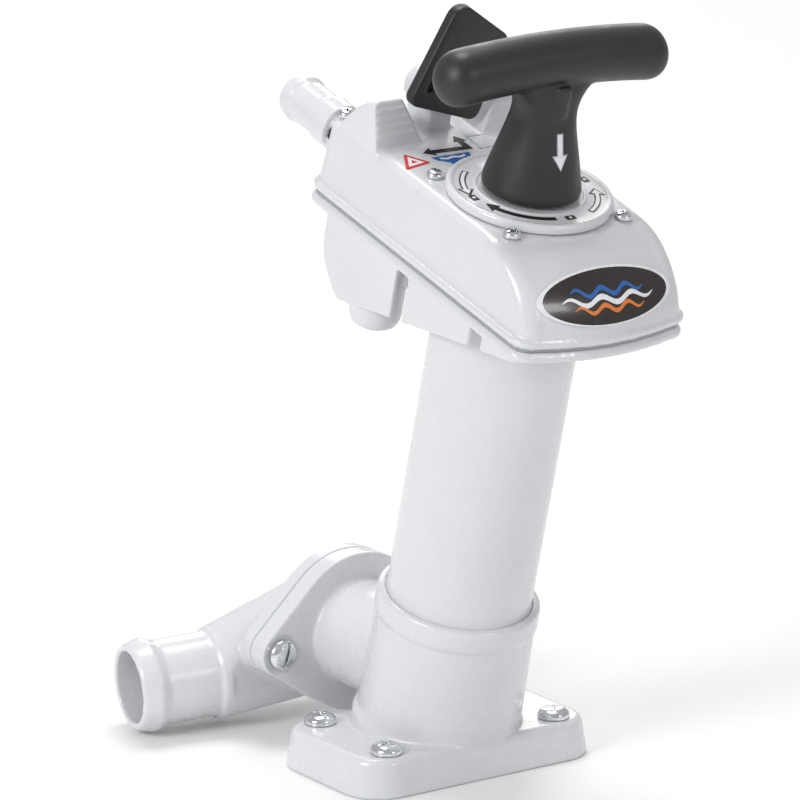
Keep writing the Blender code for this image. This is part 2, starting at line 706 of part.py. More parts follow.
def build_cover():
    """Valve cover with the lever's pods, its pivot boss and the barb to the bowl."""
    cover = loft("valve_cover", cover_rings(), PUMP_AXIS)
    lip = head_outline(RIM_HALF_WIDTH, RIM_FRONT, HEAD_REAR, RIM_BOW, 8.0)
    join(cover, prism("cover_lip", lip, COVER_LOW, LIP_TOP, parent=PUMP_AXIS))
    inside = head_outline(HEAD_HALF_WIDTH - 4, -37.0, 77.5, 4.0, 6.0)
    hollow = prism("cover_hollow", inside, COVER_LOW - 2, HEAD_TOP - 4, parent=PUMP_AXIS)
    for index, (across, along, _) in enumerate(cover_screw_places()[:4]):
        post = [(POST_RADIUS, COVER_LOW), (POST_RADIUS, HEAD_TOP)]
        cut(hollow, turned(f"cover_post_{index}", post, 16, (across, along), PUMP_AXIS))
    cut(cover, hollow)
    for index, side in enumerate((-1, 1)):
        join(cover, build_pod(side, index))
    boss = [(BOSS_RADIUS, BOSS_FRONT), (BOSS_RADIUS, 80)]
    boss_place = (0, LEVER_AXIS_HEIGHT)
    join(cover, turned("lever_boss", boss, 28, boss_place, PUMP_AXIS, along="y"))
    low, high = (-5.5, BOSS_FRONT + 1, HEAD_TOP - 2), (5.5, 79, LEVER_AXIS_HEIGHT - 4)
    join(cover, box("boss_foot", low, high, PUMP_AXIS))
    bowl = [
        (BOWL_RADIUS, HEAD_REAR - 2.3),
        (BOWL_RADIUS, HEAD_REAR + 8),
        (BOWL_RADIUS - 1, HEAD_REAR + 9),
        (BOWL_RADIUS - 1, BOWL_END - 7),
        (BOWL_RADIUS, BOWL_END - 5),
        (BOWL_RADIUS - 1, BOWL_END),
    ]
    join(cover, turned("bowl_barb", bowl, 28, (BOWL_X, BOWL_HEIGHT), PUMP_AXIS, along="y"))
    bowl_bore = [(BOWL_BORE, 74), (BOWL_BORE, BOWL_END + 2)]
    cut(cover, turned("bowl_bore", bowl_bore, 24, (BOWL_X, BOWL_HEIGHT - 1.5), PUMP_AXIS, along="y"))
    seat = [(HOUSING_RADIUS + GAP, HEAD_TOP - 8), (HOUSING_RADIUS + GAP, HEAD_TOP + 2)]
    cut(cover, turned("housing_seat", seat, 40, parent=PUMP_AXIS))
    for index, (across, along, end) in enumerate(cover_screw_places()):
        hole = [(COVER_SCREW_RADIUS + SCREW_GAP, end), (COVER_SCREW_RADIUS + SCREW_GAP, HEAD_TOP + 2)]
        cut(cover, turned(f"cover_hole_{index}", hole, 12, (across, along), PUMP_AXIS))
    shaft = [(SHAFT_RADIUS + GAP, BOSS_FRONT - 2), (SHAFT_RADIUS + GAP, SHAFT_END + GAP)]
    cut(cover, turned("shaft_hole", shaft, 20, boss_place, PUMP_AXIS, along="y"))
    ring_seat = [(SHAFT_RADIUS + 2.2, BOSS_FRONT - 2), (SHAFT_RADIUS + 2.2, BOSS_FRONT + 2.6)]
    cut(cover, turned("ring_seat", ring_seat, 20, boss_place, PUMP_AXIS, along="y"))
    return finish(cover, MOULDED)


def build_seal_housing():
    """The round dial on the head, with the rod's seals inside it."""
    profile = [
        (ROD_RADIUS + 0.5, HEAD_TOP - 7),
        (12, HEAD_TOP - 7),
        (12, HOUSING_FOOT),
        (HOUSING_RADIUS, HOUSING_FOOT),
        (HOUSING_RADIUS, DIAL_LOW),
        (DIAL_RADIUS, DIAL_LOW),
        (DIAL_RADIUS, DIAL_TOP - 1.6),
        (DIAL_RADIUS - 0.6, DIAL_TOP - 0.4),
        (DIAL_RADIUS - 2, DIAL_TOP),
        (DIAL_RADIUS - 3.4, DIAL_TOP - 0.5),
        (11, DIAL_TOP - 0.5),
        (11, DIAL_TOP - 3.4),
        (ROD_RADIUS + 0.5, DIAL_TOP - 3.4),
    ]
    return finish(turned("seal_housing", profile, 36, parent=PUMP_AXIS, hollow=True), MOULDED)


def build_rod_rings():
    inner = ROD_RADIUS + 0.5
    ceiling = HEAD_TOP - 7 - GAP
    options = {"sides": 28, "parent": PUMP_AXIS}
    finish(ring_piece("rod_bush", inner, 11.7, ceiling - 5, ceiling, **options), CHARCOAL)
    finish(ring_piece("rod_seal", inner, 11.7, HOUSING_FOOT + 0.4, ceiling - 5 - GAP, **options), RUBBER)
    finish(ring_piece("rod_wiper", inner, 10.7, DIAL_TOP - 3.1, DIAL_TOP - 0.7, **options), RUBBER)


def build_base_seal():
    inner, outer = GROOVE_INNER + GAP, GROOVE_OUTER - GAP
    ring = ring_piece("base_seal_ring", inner, outer, 0.0, GROOVE_DEPTH - GAP, sides=32)
    return finish(ring, RUBBER)


def build_barrel_seal():
    """The flat ring under the barrel's foot, in the step of the socket."""
    low = BARREL_FOOT - SEAL_DEPTH + GAP
    options = {"sides": 40, "parent": PUMP_AXIS}
    ring = ring_piece("barrel_seal", BARREL_BORE, BARREL_BORE + SEAL_WIDTH, low, BARREL_FOOT, **options)
    return finish(ring, RUBBER)


def build_screw(name, place, radius, head_radius, head_height, seat, end, parent=None, along="z"):
    """A pan-head screw. Its head points to rising coordinates when the seat is above the end."""
    rise = 1 if seat > end else -1
    profile = [
        (radius, end),
        (radius, seat),
        (head_radius, seat),
        (head_radius, seat + rise * head_height * 0.5),
        (head_radius * 0.7, seat + rise * head_height),
    ]
    screw = turned(name, profile, 12, place, parent, along=along)
    top = seat + rise * head_height
    low, high = sorted((top - rise * head_height * 0.45, top + rise * 2))
    half = head_radius * 0.62
    for index, (half_a, half_b) in enumerate(((half, head_radius * 0.11), (head_radius * 0.11, half))):
        outline = [(-half_a, -half_b), (half_a, -half_b), (half_a, half_b), (-half_a, half_b)]
        slot = [(place[0] + a, place[1] + b) for a, b in outline]
        if along == "y" and index == 1:
            continue
        cut(screw, prism(f"{name}_slot_{index}", slot, low, high, along, parent))
    return finish(screw, CHROME)


def build_screws():
    for index, place in enumerate(base_screw_places(), 1):
        build_screw(
            f"base_screw_{index}", place, BASE_SCREW_RADIUS, BASE_HEAD_RADIUS, BASE_HEAD_HEIGHT,
            PLATE_HEIGHT + GAP, 0.5,
        )
    for index, (across, along, end) in enumerate(cover_screw_places(), 1):
        build_screw(
            f"cover_screw_{index}", (across, along), COVER_SCREW_RADIUS, COVER_HEAD_RADIUS, 2.6,
            HEAD_TOP + GAP, end, PUMP_AXIS,
        )
    for index, place in enumerate(flange_screw_places(), 1):
        build_screw(
            f"flange_screw_{index}", place, FLANGE_SCREW_RADIUS, FLANGE_HEAD_RADIUS, 4.0,
            FLANGE_FRONT + 0.8 - GAP, FLANGE_REAR - 1, along="y",
        )


def build_lever():
    """The flush lever, its shaft and the ring that seals it, all on one pivot."""
    pivot = frame_empty("lever_pivot", (0, LEVER_FRONT, LEVER_AXIS_HEIGHT), PUMP_AXIS)
    corners = [(-22, 3, 4), (-4.5, 46, 6), (22.5, 27, 5), (12.5, -8.5, 4)]
    lever = prism("flush_lever", rounded_polygon(corners), 0, LEVER_THICKNESS, "y", pivot)
    pocket = rounded_polygon([(-14.5, 6.5, 1), (-8, 21, 1), (0, 14, 1)], 2)
    cut(lever, prism("lever_pocket", pocket, -1, 3, "y", pivot))
    hub = [(SHAFT_RADIUS + GAP, 2), (SHAFT_RADIUS + GAP, LEVER_THICKNESS + 1)]
    cut(lever, turned("lever_hub", hub, 20, parent=pivot, along="y"))
    finish(lever, CHARCOAL)
    shaft = [(SHAFT_RADIUS, 2 + GAP), (SHAFT_RADIUS, SHAFT_END - LEVER_FRONT)]
    finish(turned("lever_shaft", shaft, 20, parent=pivot, along="y"), STEEL)
    low = BOSS_FRONT + GAP - LEVER_FRONT
    options = {"sides": 20, "parent": pivot, "along": "y"}
    inner = SHAFT_RADIUS + GAP
    finish(ring_piece("lever_oring", inner, SHAFT_RADIUS + 1.8, low, low + 1.9, **options), RUBBER)


def build_piston():
    top = PISTON_LOW + PISTON_HEIGHT
    groove = PISTON_LOW + 6
    bore = ROD_END_RADIUS + GAP
    profile = [
        (bore, PISTON_LOW),
        (PISTON_RADIUS - 1, PISTON_LOW),
        (PISTON_RADIUS, PISTON_LOW + 1),
        (PISTON_RADIUS, groove),
        (PISTON_RADIUS - 3, groove),
        (PISTON_RADIUS - 3, groove + 4),
        (PISTON_RADIUS, groove + 4),
        (PISTON_RADIUS, top - 1),
        (PISTON_RADIUS - 1, top),
        (bore, top),
    ]
    options = {"parent": PUMP_AXIS}
    finish(turned("piston", profile, 32, hollow=True, **options), CHARCOAL)
    inner, outer = PISTON_RADIUS - 2.6, PISTON_RADIUS + 0.1
    ring = ring_piece("piston_oring", inner, outer, groove + GAP, groove + 4 - GAP, sides=32, **options)
    finish(ring, RUBBER)
    washer = ring_piece("piston_washer", bore, 11, PISTON_LOW - 1.9, PISTON_LOW - GAP, sides=28, **options)
    finish(washer, STEEL)
    low, high = PISTON_LOW - 7.2, PISTON_LOW - 2.2
    nut = prism("piston_nut", circle(7.5, 6), low, high, parent=PUMP_AXIS)
    cut(nut, turned("nut_bore", [(bore, low - 1), (bore, high + 1)], 20, parent=PUMP_AXIS))
    finish(nut, STEEL)


def build_rod():
    shoulder = PISTON_LOW + PISTON_HEIGHT + GAP
    profile = [
        (ROD_END_RADIUS - 1, PISTON_LOW - 9),
        (ROD_END_RADIUS, PISTON_LOW - 8),
        (ROD_END_RADIUS, shoulder),
        (ROD_RADIUS, shoulder),
        (ROD_RADIUS, ROD_TOP - 1),
        (ROD_RADIUS - 1, ROD_TOP),
    ]
    return finish(turned("rod", profile, 28, parent=PUMP_AXIS), STEEL)


def ellipse_ring(half_x, half_y, height, sides=24):
    return [(half_x * x, half_y * y, height) for x, y in circle(1.0, sides)]


def build_handle():
    """The tee handle: a tapering stem that spreads into an arched bar."""
    stem = [
        ellipse_ring(19.8, 19.8, STEM_LOW),
        ellipse_ring(19.2, 19.2, STEM_LOW + 3),
        ellipse_ring(16, 16, STEM_LOW + 17.5),
        ellipse_ring(12.6, 12.2, STEM_LOW + 27.5),
        ellipse_ring(11.6, 10.6, STEM_LOW + 35.5),
        ellipse_ring(14.5, 10.0, STEM_LOW + 41.5),
        ellipse_ring(21, 8.6, STEM_LOW + 47.5),
        ellipse_ring(27, 6.0, STEM_LOW + 51.5),
    ]
    handle = loft("t_handle", stem, PUMP_AXIS)
    rings = []
    ends = [(-BAR_HALF, 4.5), (-BAR_HALF + 1.2, 7.8), (-BAR_HALF + 4, 10.4), (-BAR_HALF + 9, BAR_RADIUS)]
    middle = [(x, BAR_RADIUS - 0.4) for x in (-28, -14, 0, 14, 28)]
    for across, radius in ends + middle + [(-x, r) for x, r in reversed(ends)]:
        height = BAR_HEIGHT + BAR_ARCH * (1 - (across / BAR_HALF) ** 2)
        rings.append([(across, y, height + z) for y, z in circle(radius, 20)])
    join(handle, loft("handle_bar", rings, PUMP_AXIS))
    bore = [(ROD_RADIUS + GAP, STEM_LOW - 2), (ROD_RADIUS + GAP, ROD_TOP + 0.5)]
    cut(handle, turned("handle_bore", bore, 20, parent=PUMP_AXIS))
    return finish(handle, CHARCOAL)


def build_flap(name, centre, radius, seat, hinge_y, parent=None):
    """A round rubber flap with a weight on it, both held by an empty on the flap's hinge line."""
    pivot = frame_empty(f"{name}_pivot", (centre[0], hinge_y, seat + 1), parent)
    options = {"centre": (0, centre[1] - hinge_y), "parent": pivot}
    finish(turned(name, [(radius, -1), (radius, 1)], 32, **options), RUBBER)
    weight = [(radius * 0.55, 1 + GAP), (radius * 0.55, 4), (radius * 0.5, 4.6)]
    finish(turned(f"{name}_weight", weight, 28, **options), BRASS)


def build_badge():
    """A thin oval plate that follows the cover's front."""
    sides, rows = 28, 2
    half_x, half_z = 29.0, 8.6
    middle = HEAD_TOP - 15.0

    def place(part, angle, lift):
        across = half_x * part * math.cos(angle)
        height = middle + half_z * part * math.sin(angle)
        point = front_surface(across, height)
        right = front_surface(across + 0.2, height) - point
        up = front_surface(across, height + 0.2) - point
        return point + right.cross(up).normalized() * lift

    points = [place(0, 0, 0.7), place(0, 0, 2.0)]
    for lift in (0.7, 2.0):
        for row in range(1, rows + 1):
            points += [place(row / rows, 2 * math.pi * side / sides, lift) for side in range(sides)]
    faces = []
    for layer in range(2):
        start = 2 + layer * rows * sides
        for side in range(sides):
            after = (side + 1) % sides
            faces.append((layer, start + side, start + after))
            for row in range(rows - 1):
                low = start + row * sides
                faces.append((low + side, low + sides + side, low + sides + after, low + after))
    rim_low = 2 + (rows - 1) * sides
    rim_high = rim_low + rows * sides
    for side in range(sides):
        after = (side + 1) % sides
        faces.append((rim_low + side, rim_low + after, rim_high + after, rim_high + side))
    work = bmesh.new()
    corners = [work.verts.new(point * MM) for point in points]
    for face in faces:
        work.faces.new([corners[index] for index in face])
    return finish(link_mesh("badge", work, PUMP_AXIS), LACQUER)


def main():
    build_base()
    build_base_seal()
    build_barrel_seal()
    build_pump_body()
    build_gasket()
    build_cover()
    build_seal_housing()
    build_rod_rings()
    build_elbow()
    build_joker_valve()
    build_screws()
    build_lever()
    build_badge()
    build_piston()
    build_rod()
    build_handle()
    build_flap("bottom_flap", (0, 1), 18.5, CHAMBER_FLOOR + GAP, 19.0)
    build_flap("intake_flap", (INTAKE_X + 2, INTAKE_Y), 8.8, GASKET_TOP + GAP, INTAKE_Y + 9.0, PUMP_AXIS)


main()
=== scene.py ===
"""Looks of a hand-worked marine toilet pump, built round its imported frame."""

from __future__ import annotations

import json
import logging
import math
from dataclasses import dataclass, field
from enum import Enum
from typing import Callable, Iterable, Sequence

import bmesh
import bpy
from mathutils import Matrix, Vector
from mathutils.bvhtree import BVHTree

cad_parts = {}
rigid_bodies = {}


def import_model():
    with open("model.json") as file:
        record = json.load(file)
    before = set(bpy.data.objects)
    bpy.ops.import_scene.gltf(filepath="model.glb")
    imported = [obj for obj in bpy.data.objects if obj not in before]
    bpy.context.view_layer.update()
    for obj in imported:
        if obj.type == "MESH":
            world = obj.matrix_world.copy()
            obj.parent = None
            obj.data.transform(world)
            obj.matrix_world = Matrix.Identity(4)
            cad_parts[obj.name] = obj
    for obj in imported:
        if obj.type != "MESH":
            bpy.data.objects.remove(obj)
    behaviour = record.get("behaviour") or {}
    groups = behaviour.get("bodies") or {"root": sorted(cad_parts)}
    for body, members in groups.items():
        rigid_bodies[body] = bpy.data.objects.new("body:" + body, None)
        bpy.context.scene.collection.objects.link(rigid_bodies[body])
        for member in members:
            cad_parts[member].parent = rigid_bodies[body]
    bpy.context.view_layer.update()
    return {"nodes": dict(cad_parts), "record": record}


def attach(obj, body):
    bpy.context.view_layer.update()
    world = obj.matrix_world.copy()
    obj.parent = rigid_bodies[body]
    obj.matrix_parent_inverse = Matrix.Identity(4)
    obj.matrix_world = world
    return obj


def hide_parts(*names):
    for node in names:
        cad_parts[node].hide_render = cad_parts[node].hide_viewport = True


LOG = logging.getLogger("pump")
MM = 0.001
Point = Sequence[float]


class Axis(Enum):
    """The direction that a turned or extruded shape runs along."""

    X = "x"
    Y = "y"
    Z = "z"


class Slot(Enum):
    """The record's material slots."""

    MOULDED = "moulded_plastic"
    CHARCOAL = "charcoal_plastic"
    CHROME = "chrome_screws"
    STEEL = "steel_rod"
    RUBBER = "black_rubber"
    WEIGHT = "flap_weights"
    BADGE = "badge_plate"


# ---------------------------------------------------------------- finishes


class NodeBoard:
    """A short way to wire one material's nodes."""

    def __init__(self, name: str) -> None:
        """Start a material with a Principled shader.

        Args:
            name: The material's name.
        """
        self.material = bpy.data.materials.new(name)
        self.material.use_nodes = True
        self.tree = self.material.node_tree
        self.shader = self.tree.nodes["Principled BSDF"]
        self.coords = self.tree.nodes.new("ShaderNodeTexCoord")

    def link(self, source: bpy.types.NodeSocket, target: bpy.types.NodeSocket) -> None:
        """Join two sockets."""
        self.tree.links.new(source, target)

    def noise(self, scale: float, detail: float = 3.0, roughness: float = 0.5) -> bpy.types.NodeSocket:
        """Noise over the object's own space.

        Args:
            scale: Cells per metre.
            detail: Octaves.
            roughness: Weight of the fine octaves.

        Returns:
            The factor output.
        """
        node = self.tree.nodes.new("ShaderNodeTexNoise")
        node.inputs["Scale"].default_value = scale
        node.inputs["Detail"].default_value = detail
        node.inputs["Roughness"].default_value = roughness
        self.link(self.coords.outputs["Object"], node.inputs["Vector"])
        return node.outputs["Fac"]

    def ramp(self, value: bpy.types.NodeSocket, stops: Sequence[tuple[float, Point]]) -> bpy.types.NodeSocket:
        """A colour ramp.

        Args:
            value: The driving factor.
            stops: (position, colour) pairs.

        Returns:
            The colour output.
        """
        node = self.tree.nodes.new("ShaderNodeValToRGB")
        ramp = node.color_ramp
        while len(ramp.elements) < len(stops):
            ramp.elements.new(0.5)
        for element, (place, colour) in zip(ramp.elements, stops):
            element.position = place
            element.color = (*colour, 1.0)
        self.link(value, node.inputs["Fac"])
        return node.outputs["Color"]

    def spread(self, value: bpy.types.NodeSocket, low: float, high: float) -> bpy.types.NodeSocket:
        """Map a factor's middle range onto low to high.

        Args:
            value: The factor.
            low: Result at the low end.
            high: Result at the high end.

        Returns:
            The mapped value.
        """
        node = self.tree.nodes.new("ShaderNodeMapRange")
        node.inputs["From Min"].default_value = 0.3
        node.inputs["From Max"].default_value = 0.7
        node.inputs["To Min"].default_value = low
        node.inputs["To Max"].default_value = high
        self.link(value, node.inputs["Value"])
        return node.outputs["Result"]

    def bump(self, heights: Iterable[tuple[bpy.types.NodeSocket, float]]) -> None:
        """Chain bumps into the shader's normal.

        Args:
            heights: (height socket, depth in metres) pairs.
        """
        last = None
        for height, depth in heights:
            node = self.tree.nodes.new("ShaderNodeBump")
            node.inputs["Strength"].default_value = 1.0
            node.inputs["Distance"].default_value = depth
            self.link(height, node.inputs["Height"])
            if last is not None:
                self.link(last, node.inputs["Normal"])
            last = node.outputs["Normal"]
        if last is not None:
            self.link(last, self.shader.inputs["Normal"])


@dataclass(frozen=True)
class Plastic:
    """Moulded plastic: faint mottling, uneven gloss and a fine skin."""

    name: str
    colour: tuple[float, float, float]
    gloss: tuple[float, float]
    mottle: float = 0.03
    skin_scale: float = 900.0
    skin_depth: float = 0.000012
    coat: float = 0.0

    def material(self) -> bpy.types.Material:
        """Build the finish.

        Returns:
            The new material.
        """
        board = NodeBoard(self.name)
        low = tuple(max(0.0, c * (1 - self.mottle)) for c in self.colour)
        high = tuple(min(1.0, c * (1 + self.mottle)) for c in self.colour)
        cloud = board.noise(28.0, 4.0)
        board.link(board.ramp(cloud, [(0.3, low), (0.7, high)]), board.shader.inputs["Base Color"])
        board.link(board.spread(board.noise(120.0, 5.0, 0.6), *self.gloss), board.shader.inputs["Roughness"])
        board.shader.inputs["IOR"].default_value = 1.5
        board.shader.inputs["Coat Weight"].default_value = self.coat
        board.shader.inputs["Coat Roughness"].default_value = 0.12
        board.bump(
            [
                (board.noise(60.0, 2.0), self.skin_depth * 4),
                (board.noise(self.skin_scale, 2.0), self.skin_depth),
            ]
        )
        return board.material


@dataclass(frozen=True)
class Metal:
    """Bright or ground metal with fine drawn lines."""

    name: str
    colour: tuple[float, float, float]
    gloss: tuple[float, float]
    stretch: tuple[float, float, float] = (1.0, 1.0, 1.0)

    def material(self) -> bpy.types.Material:
        """Build the finish.

        Returns:
            The new material.
        """
        board = NodeBoard(self.name)
        board.shader.inputs["Metallic"].default_value = 1.0
        mapping = board.tree.nodes.new("ShaderNodeMapping")
        mapping.inputs["Scale"].default_value = self.stretch
        board.link(board.coords.outputs["Object"], mapping.inputs["Vector"])
        lines = board.tree.nodes.new("ShaderNodeTexNoise")
        lines.inputs["Scale"].default_value = 700.0
        lines.inputs["Detail"].default_value = 4.0
        board.link(mapping.outputs["Vector"], lines.inputs["Vector"])
        board.link(board.spread(lines.outputs["Fac"], *self.gloss), board.shader.inputs["Roughness"])
        dim = tuple(c * 0.86 for c in self.colour)
        tint = board.ramp(board.noise(300.0, 3.0), [(0.35, dim), (0.6, self.colour)])
        board.link(tint, board.shader.inputs["Base Color"])
        board.bump([(lines.outputs["Fac"], 0.000006)])
        return board.material


@dataclass(frozen=True)
class Ink:
    """Printed ink or foil, with slight wear in its tone."""

    name: str
    colour: tuple[float, float, float]
    roughness: float = 0.4

    def material(self) -> bpy.types.Material:
        """Build the finish.

        Returns:
            The new material.
        """
        board = NodeBoard(self.name)
        dim = tuple(c * 0.9 for c in self.colour)
        tint = board.ramp(board.noise(800.0, 3.0), [(0.4, dim), (0.6, self.colour)])
        board.link(tint, board.shader.inputs["Base Color"])
        gloss = board.spread(board.noise(400.0), self.roughness - 0.06, self.roughness + 0.06)
        board.link(gloss, board.shader.inputs["Roughness"])
        board.bump([(board.noise(2500.0, 2.0), 0.000004)])
        return board.material


@dataclass
class Finishes:
    """Every finish on the pump, each made once."""

    moulded: bpy.types.Material = field(init=False)
    charcoal: bpy.types.Material = field(init=False)
    chrome: bpy.types.Material = field(init=False)
    steel: bpy.types.Material = field(init=False)
    rubber: bpy.types.Material = field(init=False)
    gasket: bpy.types.Material = field(init=False)
    weight: bpy.types.Material = field(init=False)
    badge: bpy.types.Material = field(init=False)
    inks: dict[str, bpy.types.Material] = field(init=False)

    def __post_init__(self) -> None:
        """Make the materials."""
        self.moulded = Plastic(
            "moulded grey white", (0.66, 0.668, 0.685), (0.22, 0.32), 0.02, coat=0.3
        ).material()
        self.charcoal = Plastic(
            "charcoal grip", (0.017, 0.0175, 0.019), (0.36, 0.5), 0.2, 2600.0, 0.00003
        ).material()
        self.chrome = Metal("chromed screw", (0.78, 0.79, 0.81), (0.1, 0.24)).material()
        self.steel = Metal("ground steel", (0.6, 0.61, 0.63), (0.22, 0.36), (1.0, 1.0, 0.1)).material()
        self.rubber = Plastic(
            "black rubber", (0.02, 0.02, 0.022), (0.62, 0.8), 0.25, 1800.0, 0.00003
        ).material()
        self.gasket = Plastic(
            "grey gasket rubber", (0.3, 0.31, 0.33), (0.5, 0.65), 0.1, 1800.0, 0.00002
        ).material()
        self.weight = Metal("brass weight", (0.62, 0.46, 0.2), (0.3, 0.45)).material()
        self.badge = Plastic("badge lacquer", (0.018, 0.012, 0.01), (0.22, 0.32), 0.3, coat=0.4).material()
        tones = {
            "black": (0.012, 0.012, 0.014),
            "red": (0.62, 0.03, 0.025),
            "blue": (0.02, 0.12, 0.42),
            "white": (0.82, 0.83, 0.85),
            "orange": (0.75, 0.2, 0.03),
            "grey": (0.42, 0.44, 0.48),
        }
        self.inks = {name: Ink(f"{name} ink", tone).material() for name, tone in tones.items()}


# ---------------------------------------------------------------- mesh tools


@dataclass(frozen=True)
class PumpFrame:
    """The leaning frame of the barrel: Z runs up the barrel, Y to its rear."""

    lean: float = math.radians(15.0)
    plate_height: float = 16.0

    def matrix(self) -> Matrix:
        """From the leaning frame, in metres, to the world."""
        return Matrix.Translation((0, 0, self.plate_height * MM)) @ Matrix.Rotation(self.lean, 4, "X")


FRAME = PumpFrame()
LEANING = FRAME.matrix()
UPRIGHT = Matrix.Identity(4)


class Shop:
    """Tools that make and join solids, all sizes in millimetres."""

    @staticmethod
    def link(name: str, work: bmesh.types.BMesh, place: Matrix = UPRIGHT) -> bpy.types.Object:
        """Turn a bmesh in metres into an object placed in the world.

        Args:
            name: The object's name.
            work: The bmesh, which is freed.
            place: Frame of its points.

        Returns:
            The new object.
        """
        bmesh.ops.recalc_face_normals(work, faces=work.faces)
        work.transform(place)
        mesh = bpy.data.meshes.new(name)
        work.to_mesh(mesh)
        work.free()
        obj = bpy.data.objects.new(name, mesh)
        bpy.context.scene.collection.objects.link(obj)
        return obj

    @staticmethod
    def circle(radius: float, sides: int) -> list[tuple[float, float]]:
        """Points of a circle."""
        steps = [2 * math.pi * index / sides for index in range(sides)]
        return [(radius * math.cos(angle), radius * math.sin(angle)) for angle in steps]

    @classmethod
    def loft(
        cls,
        name: str,
        rings: Sequence[Sequence[Point]],
        place: Matrix = UPRIGHT,
        closed: bool = False,
    ) -> bpy.types.Object:
        """Skin over rings, capped at the ends or closed on itself.

        Args:
            name: The object's name.
            rings: Rings with equal numbers of points.
            place: Frame of the points.
            closed: Join the last ring to the first, with no caps.

        Returns:
            The new object.
        """
        work = bmesh.new()
        rows = [[work.verts.new(Vector(point) * MM) for point in ring] for ring in rings]
        count = len(rings[0])
        pairs = list(zip(rows, rows[1:])) + ([(rows[-1], rows[0])] if closed else [])
        for low, high in pairs:
            for column in range(count):
                after = (column + 1) % count
                work.faces.new((low[column], low[after], high[after], high[column]))
        if not closed:
            work.faces.new(rows[0])
            work.faces.new(rows[-1])
        return cls.link(name, work, place)

    @classmethod
    def turned(
        cls,
        name: str,
        profile: Sequence[tuple[float, float]],
        sides: int = 72,
        centre: tuple[float, float] = (0, 0),
        place: Matrix = UPRIGHT,
        hollow: bool = False,
        along: Axis = Axis.Z,
    ) -> bpy.types.Object:
        """A round solid from (radius, height) pairs along an axis through a centre across it.

        Args:
            name: The object's name.
            profile: (radius, height) pairs.
            sides: Points round the circle.
            centre: Where the axis stands, across its own direction.
            place: Frame that the shape is made in.
            hollow: Close the profile on itself, with no caps.
            along: The axis that the shape runs along.

        Returns:
            The new object.
        """
        turn = {
            Axis.X: Matrix.Rotation(math.pi / 2, 4, "Y"),
            Axis.Y: Matrix.Rotation(-math.pi / 2, 4, "X"),
            Axis.Z: UPRIGHT,
        }[along]
        shift = {
            Axis.X: (0, *centre),
            Axis.Y: (centre[0], 0, centre[1]),
            Axis.Z: (*centre, 0),
        }[along]
        rings = [[(x, y, height) for x, y in cls.circle(radius, sides)] for radius, height in profile]
        return cls.loft(name, rings, place @ Matrix.Translation(Vector(shift) * MM) @ turn, hollow)

    @classmethod
    def prism(
        cls,
        name: str,
        outline: Sequence[tuple[float, float]],
        low: float,
        high: float,
        along: Axis = Axis.Z,
        place: Matrix = UPRIGHT,
    ) -> bpy.types.Object:
        """An outline carried along one axis.

        Args:
            name: The object's name.
            outline: Points of the flat shape.
            low: Where it starts along the axis.
            high: Where it ends.
            along: The axis that the shape runs along.
            place: Frame that the shape is made in.

        Returns:
            The new object.
        """
        spot: dict[Axis, Callable[[Point, float], tuple[float, ...]]] = {
            Axis.X: lambda point, height: (height, *point),
            Axis.Y: lambda point, height: (point[0], height, point[1]),
            Axis.Z: lambda point, height: (*point, height),
        }
        rings = [[spot[along](point, height) for point in outline] for height in (low, high)]
        return cls.loft(name, rings, place)

    @classmethod
    def box(cls, name: str, low: Point, high: Point, place: Matrix = UPRIGHT) -> bpy.types.Object:
        """A rectangular block between two corners."""
        outline = [(low[0], low[1]), (high[0], low[1]), (high[0], high[1]), (low[0], high[1])]
        return cls.prism(name, outline, low[2], high[2], Axis.Z, place)

    @classmethod
    def hull(cls, name: str, points: Iterable[Point], place: Matrix = UPRIGHT) -> bpy.types.Object:
        """The tight skin round a set of points.

        Args:
            name: The object's name.
            points: The points, in millimetres.
            place: Frame that the shape is made in.

        Returns:
            The new object.
        """
        work = bmesh.new()
        for point in points:
            work.verts.new(Vector(point) * MM)
        bmesh.ops.convex_hull(work, input=work.verts)
        inside = [vert for vert in work.verts if not vert.link_faces]
        bmesh.ops.delete(work, geom=inside, context="VERTS")
        return cls.link(name, work, place)

    @staticmethod
    def settle(obj: bpy.types.Object) -> bpy.types.Object:
        """Apply an object's modifiers to its mesh.

        Args:
            obj: The piece.

        Returns:
            The same object.
        """
        bpy.context.view_layer.update()
        graph = bpy.context.evaluated_depsgraph_get()
        mesh = bpy.data.meshes.new_from_object(obj.evaluated_get(graph))
        obj.modifiers.clear()
        obj.data = mesh
        return obj

    @classmethod
    def combine(
        cls, target: bpy.types.Object, tools: Sequence[bpy.types.Object], operation: str
    ) -> bpy.types.Object:
        """Join, cut or intersect with tools, which are used up.

        Args:
            target: The solid to change.
            tools: The solids to use on it.
            operation: UNION, DIFFERENCE or INTERSECT.

        Returns:
            The target.
        """
        if not tools:
            return target
        shelf = bpy.data.collections.new("shelf")
        bpy.context.scene.collection.children.link(shelf)
        for tool in tools:
            for owner in list(tool.users_collection):
                owner.objects.unlink(tool)
            shelf.objects.link(tool)
        modifier = target.modifiers.new("combine", "BOOLEAN")
        modifier.solver = "EXACT"
        modifier.operation = operation
        modifier.operand_type = "COLLECTION"
        modifier.collection = shelf
        cls.settle(target)
        for tool in tools:
            bpy.data.objects.remove(tool, do_unlink=True)
        bpy.data.collections.remove(shelf)
        return target

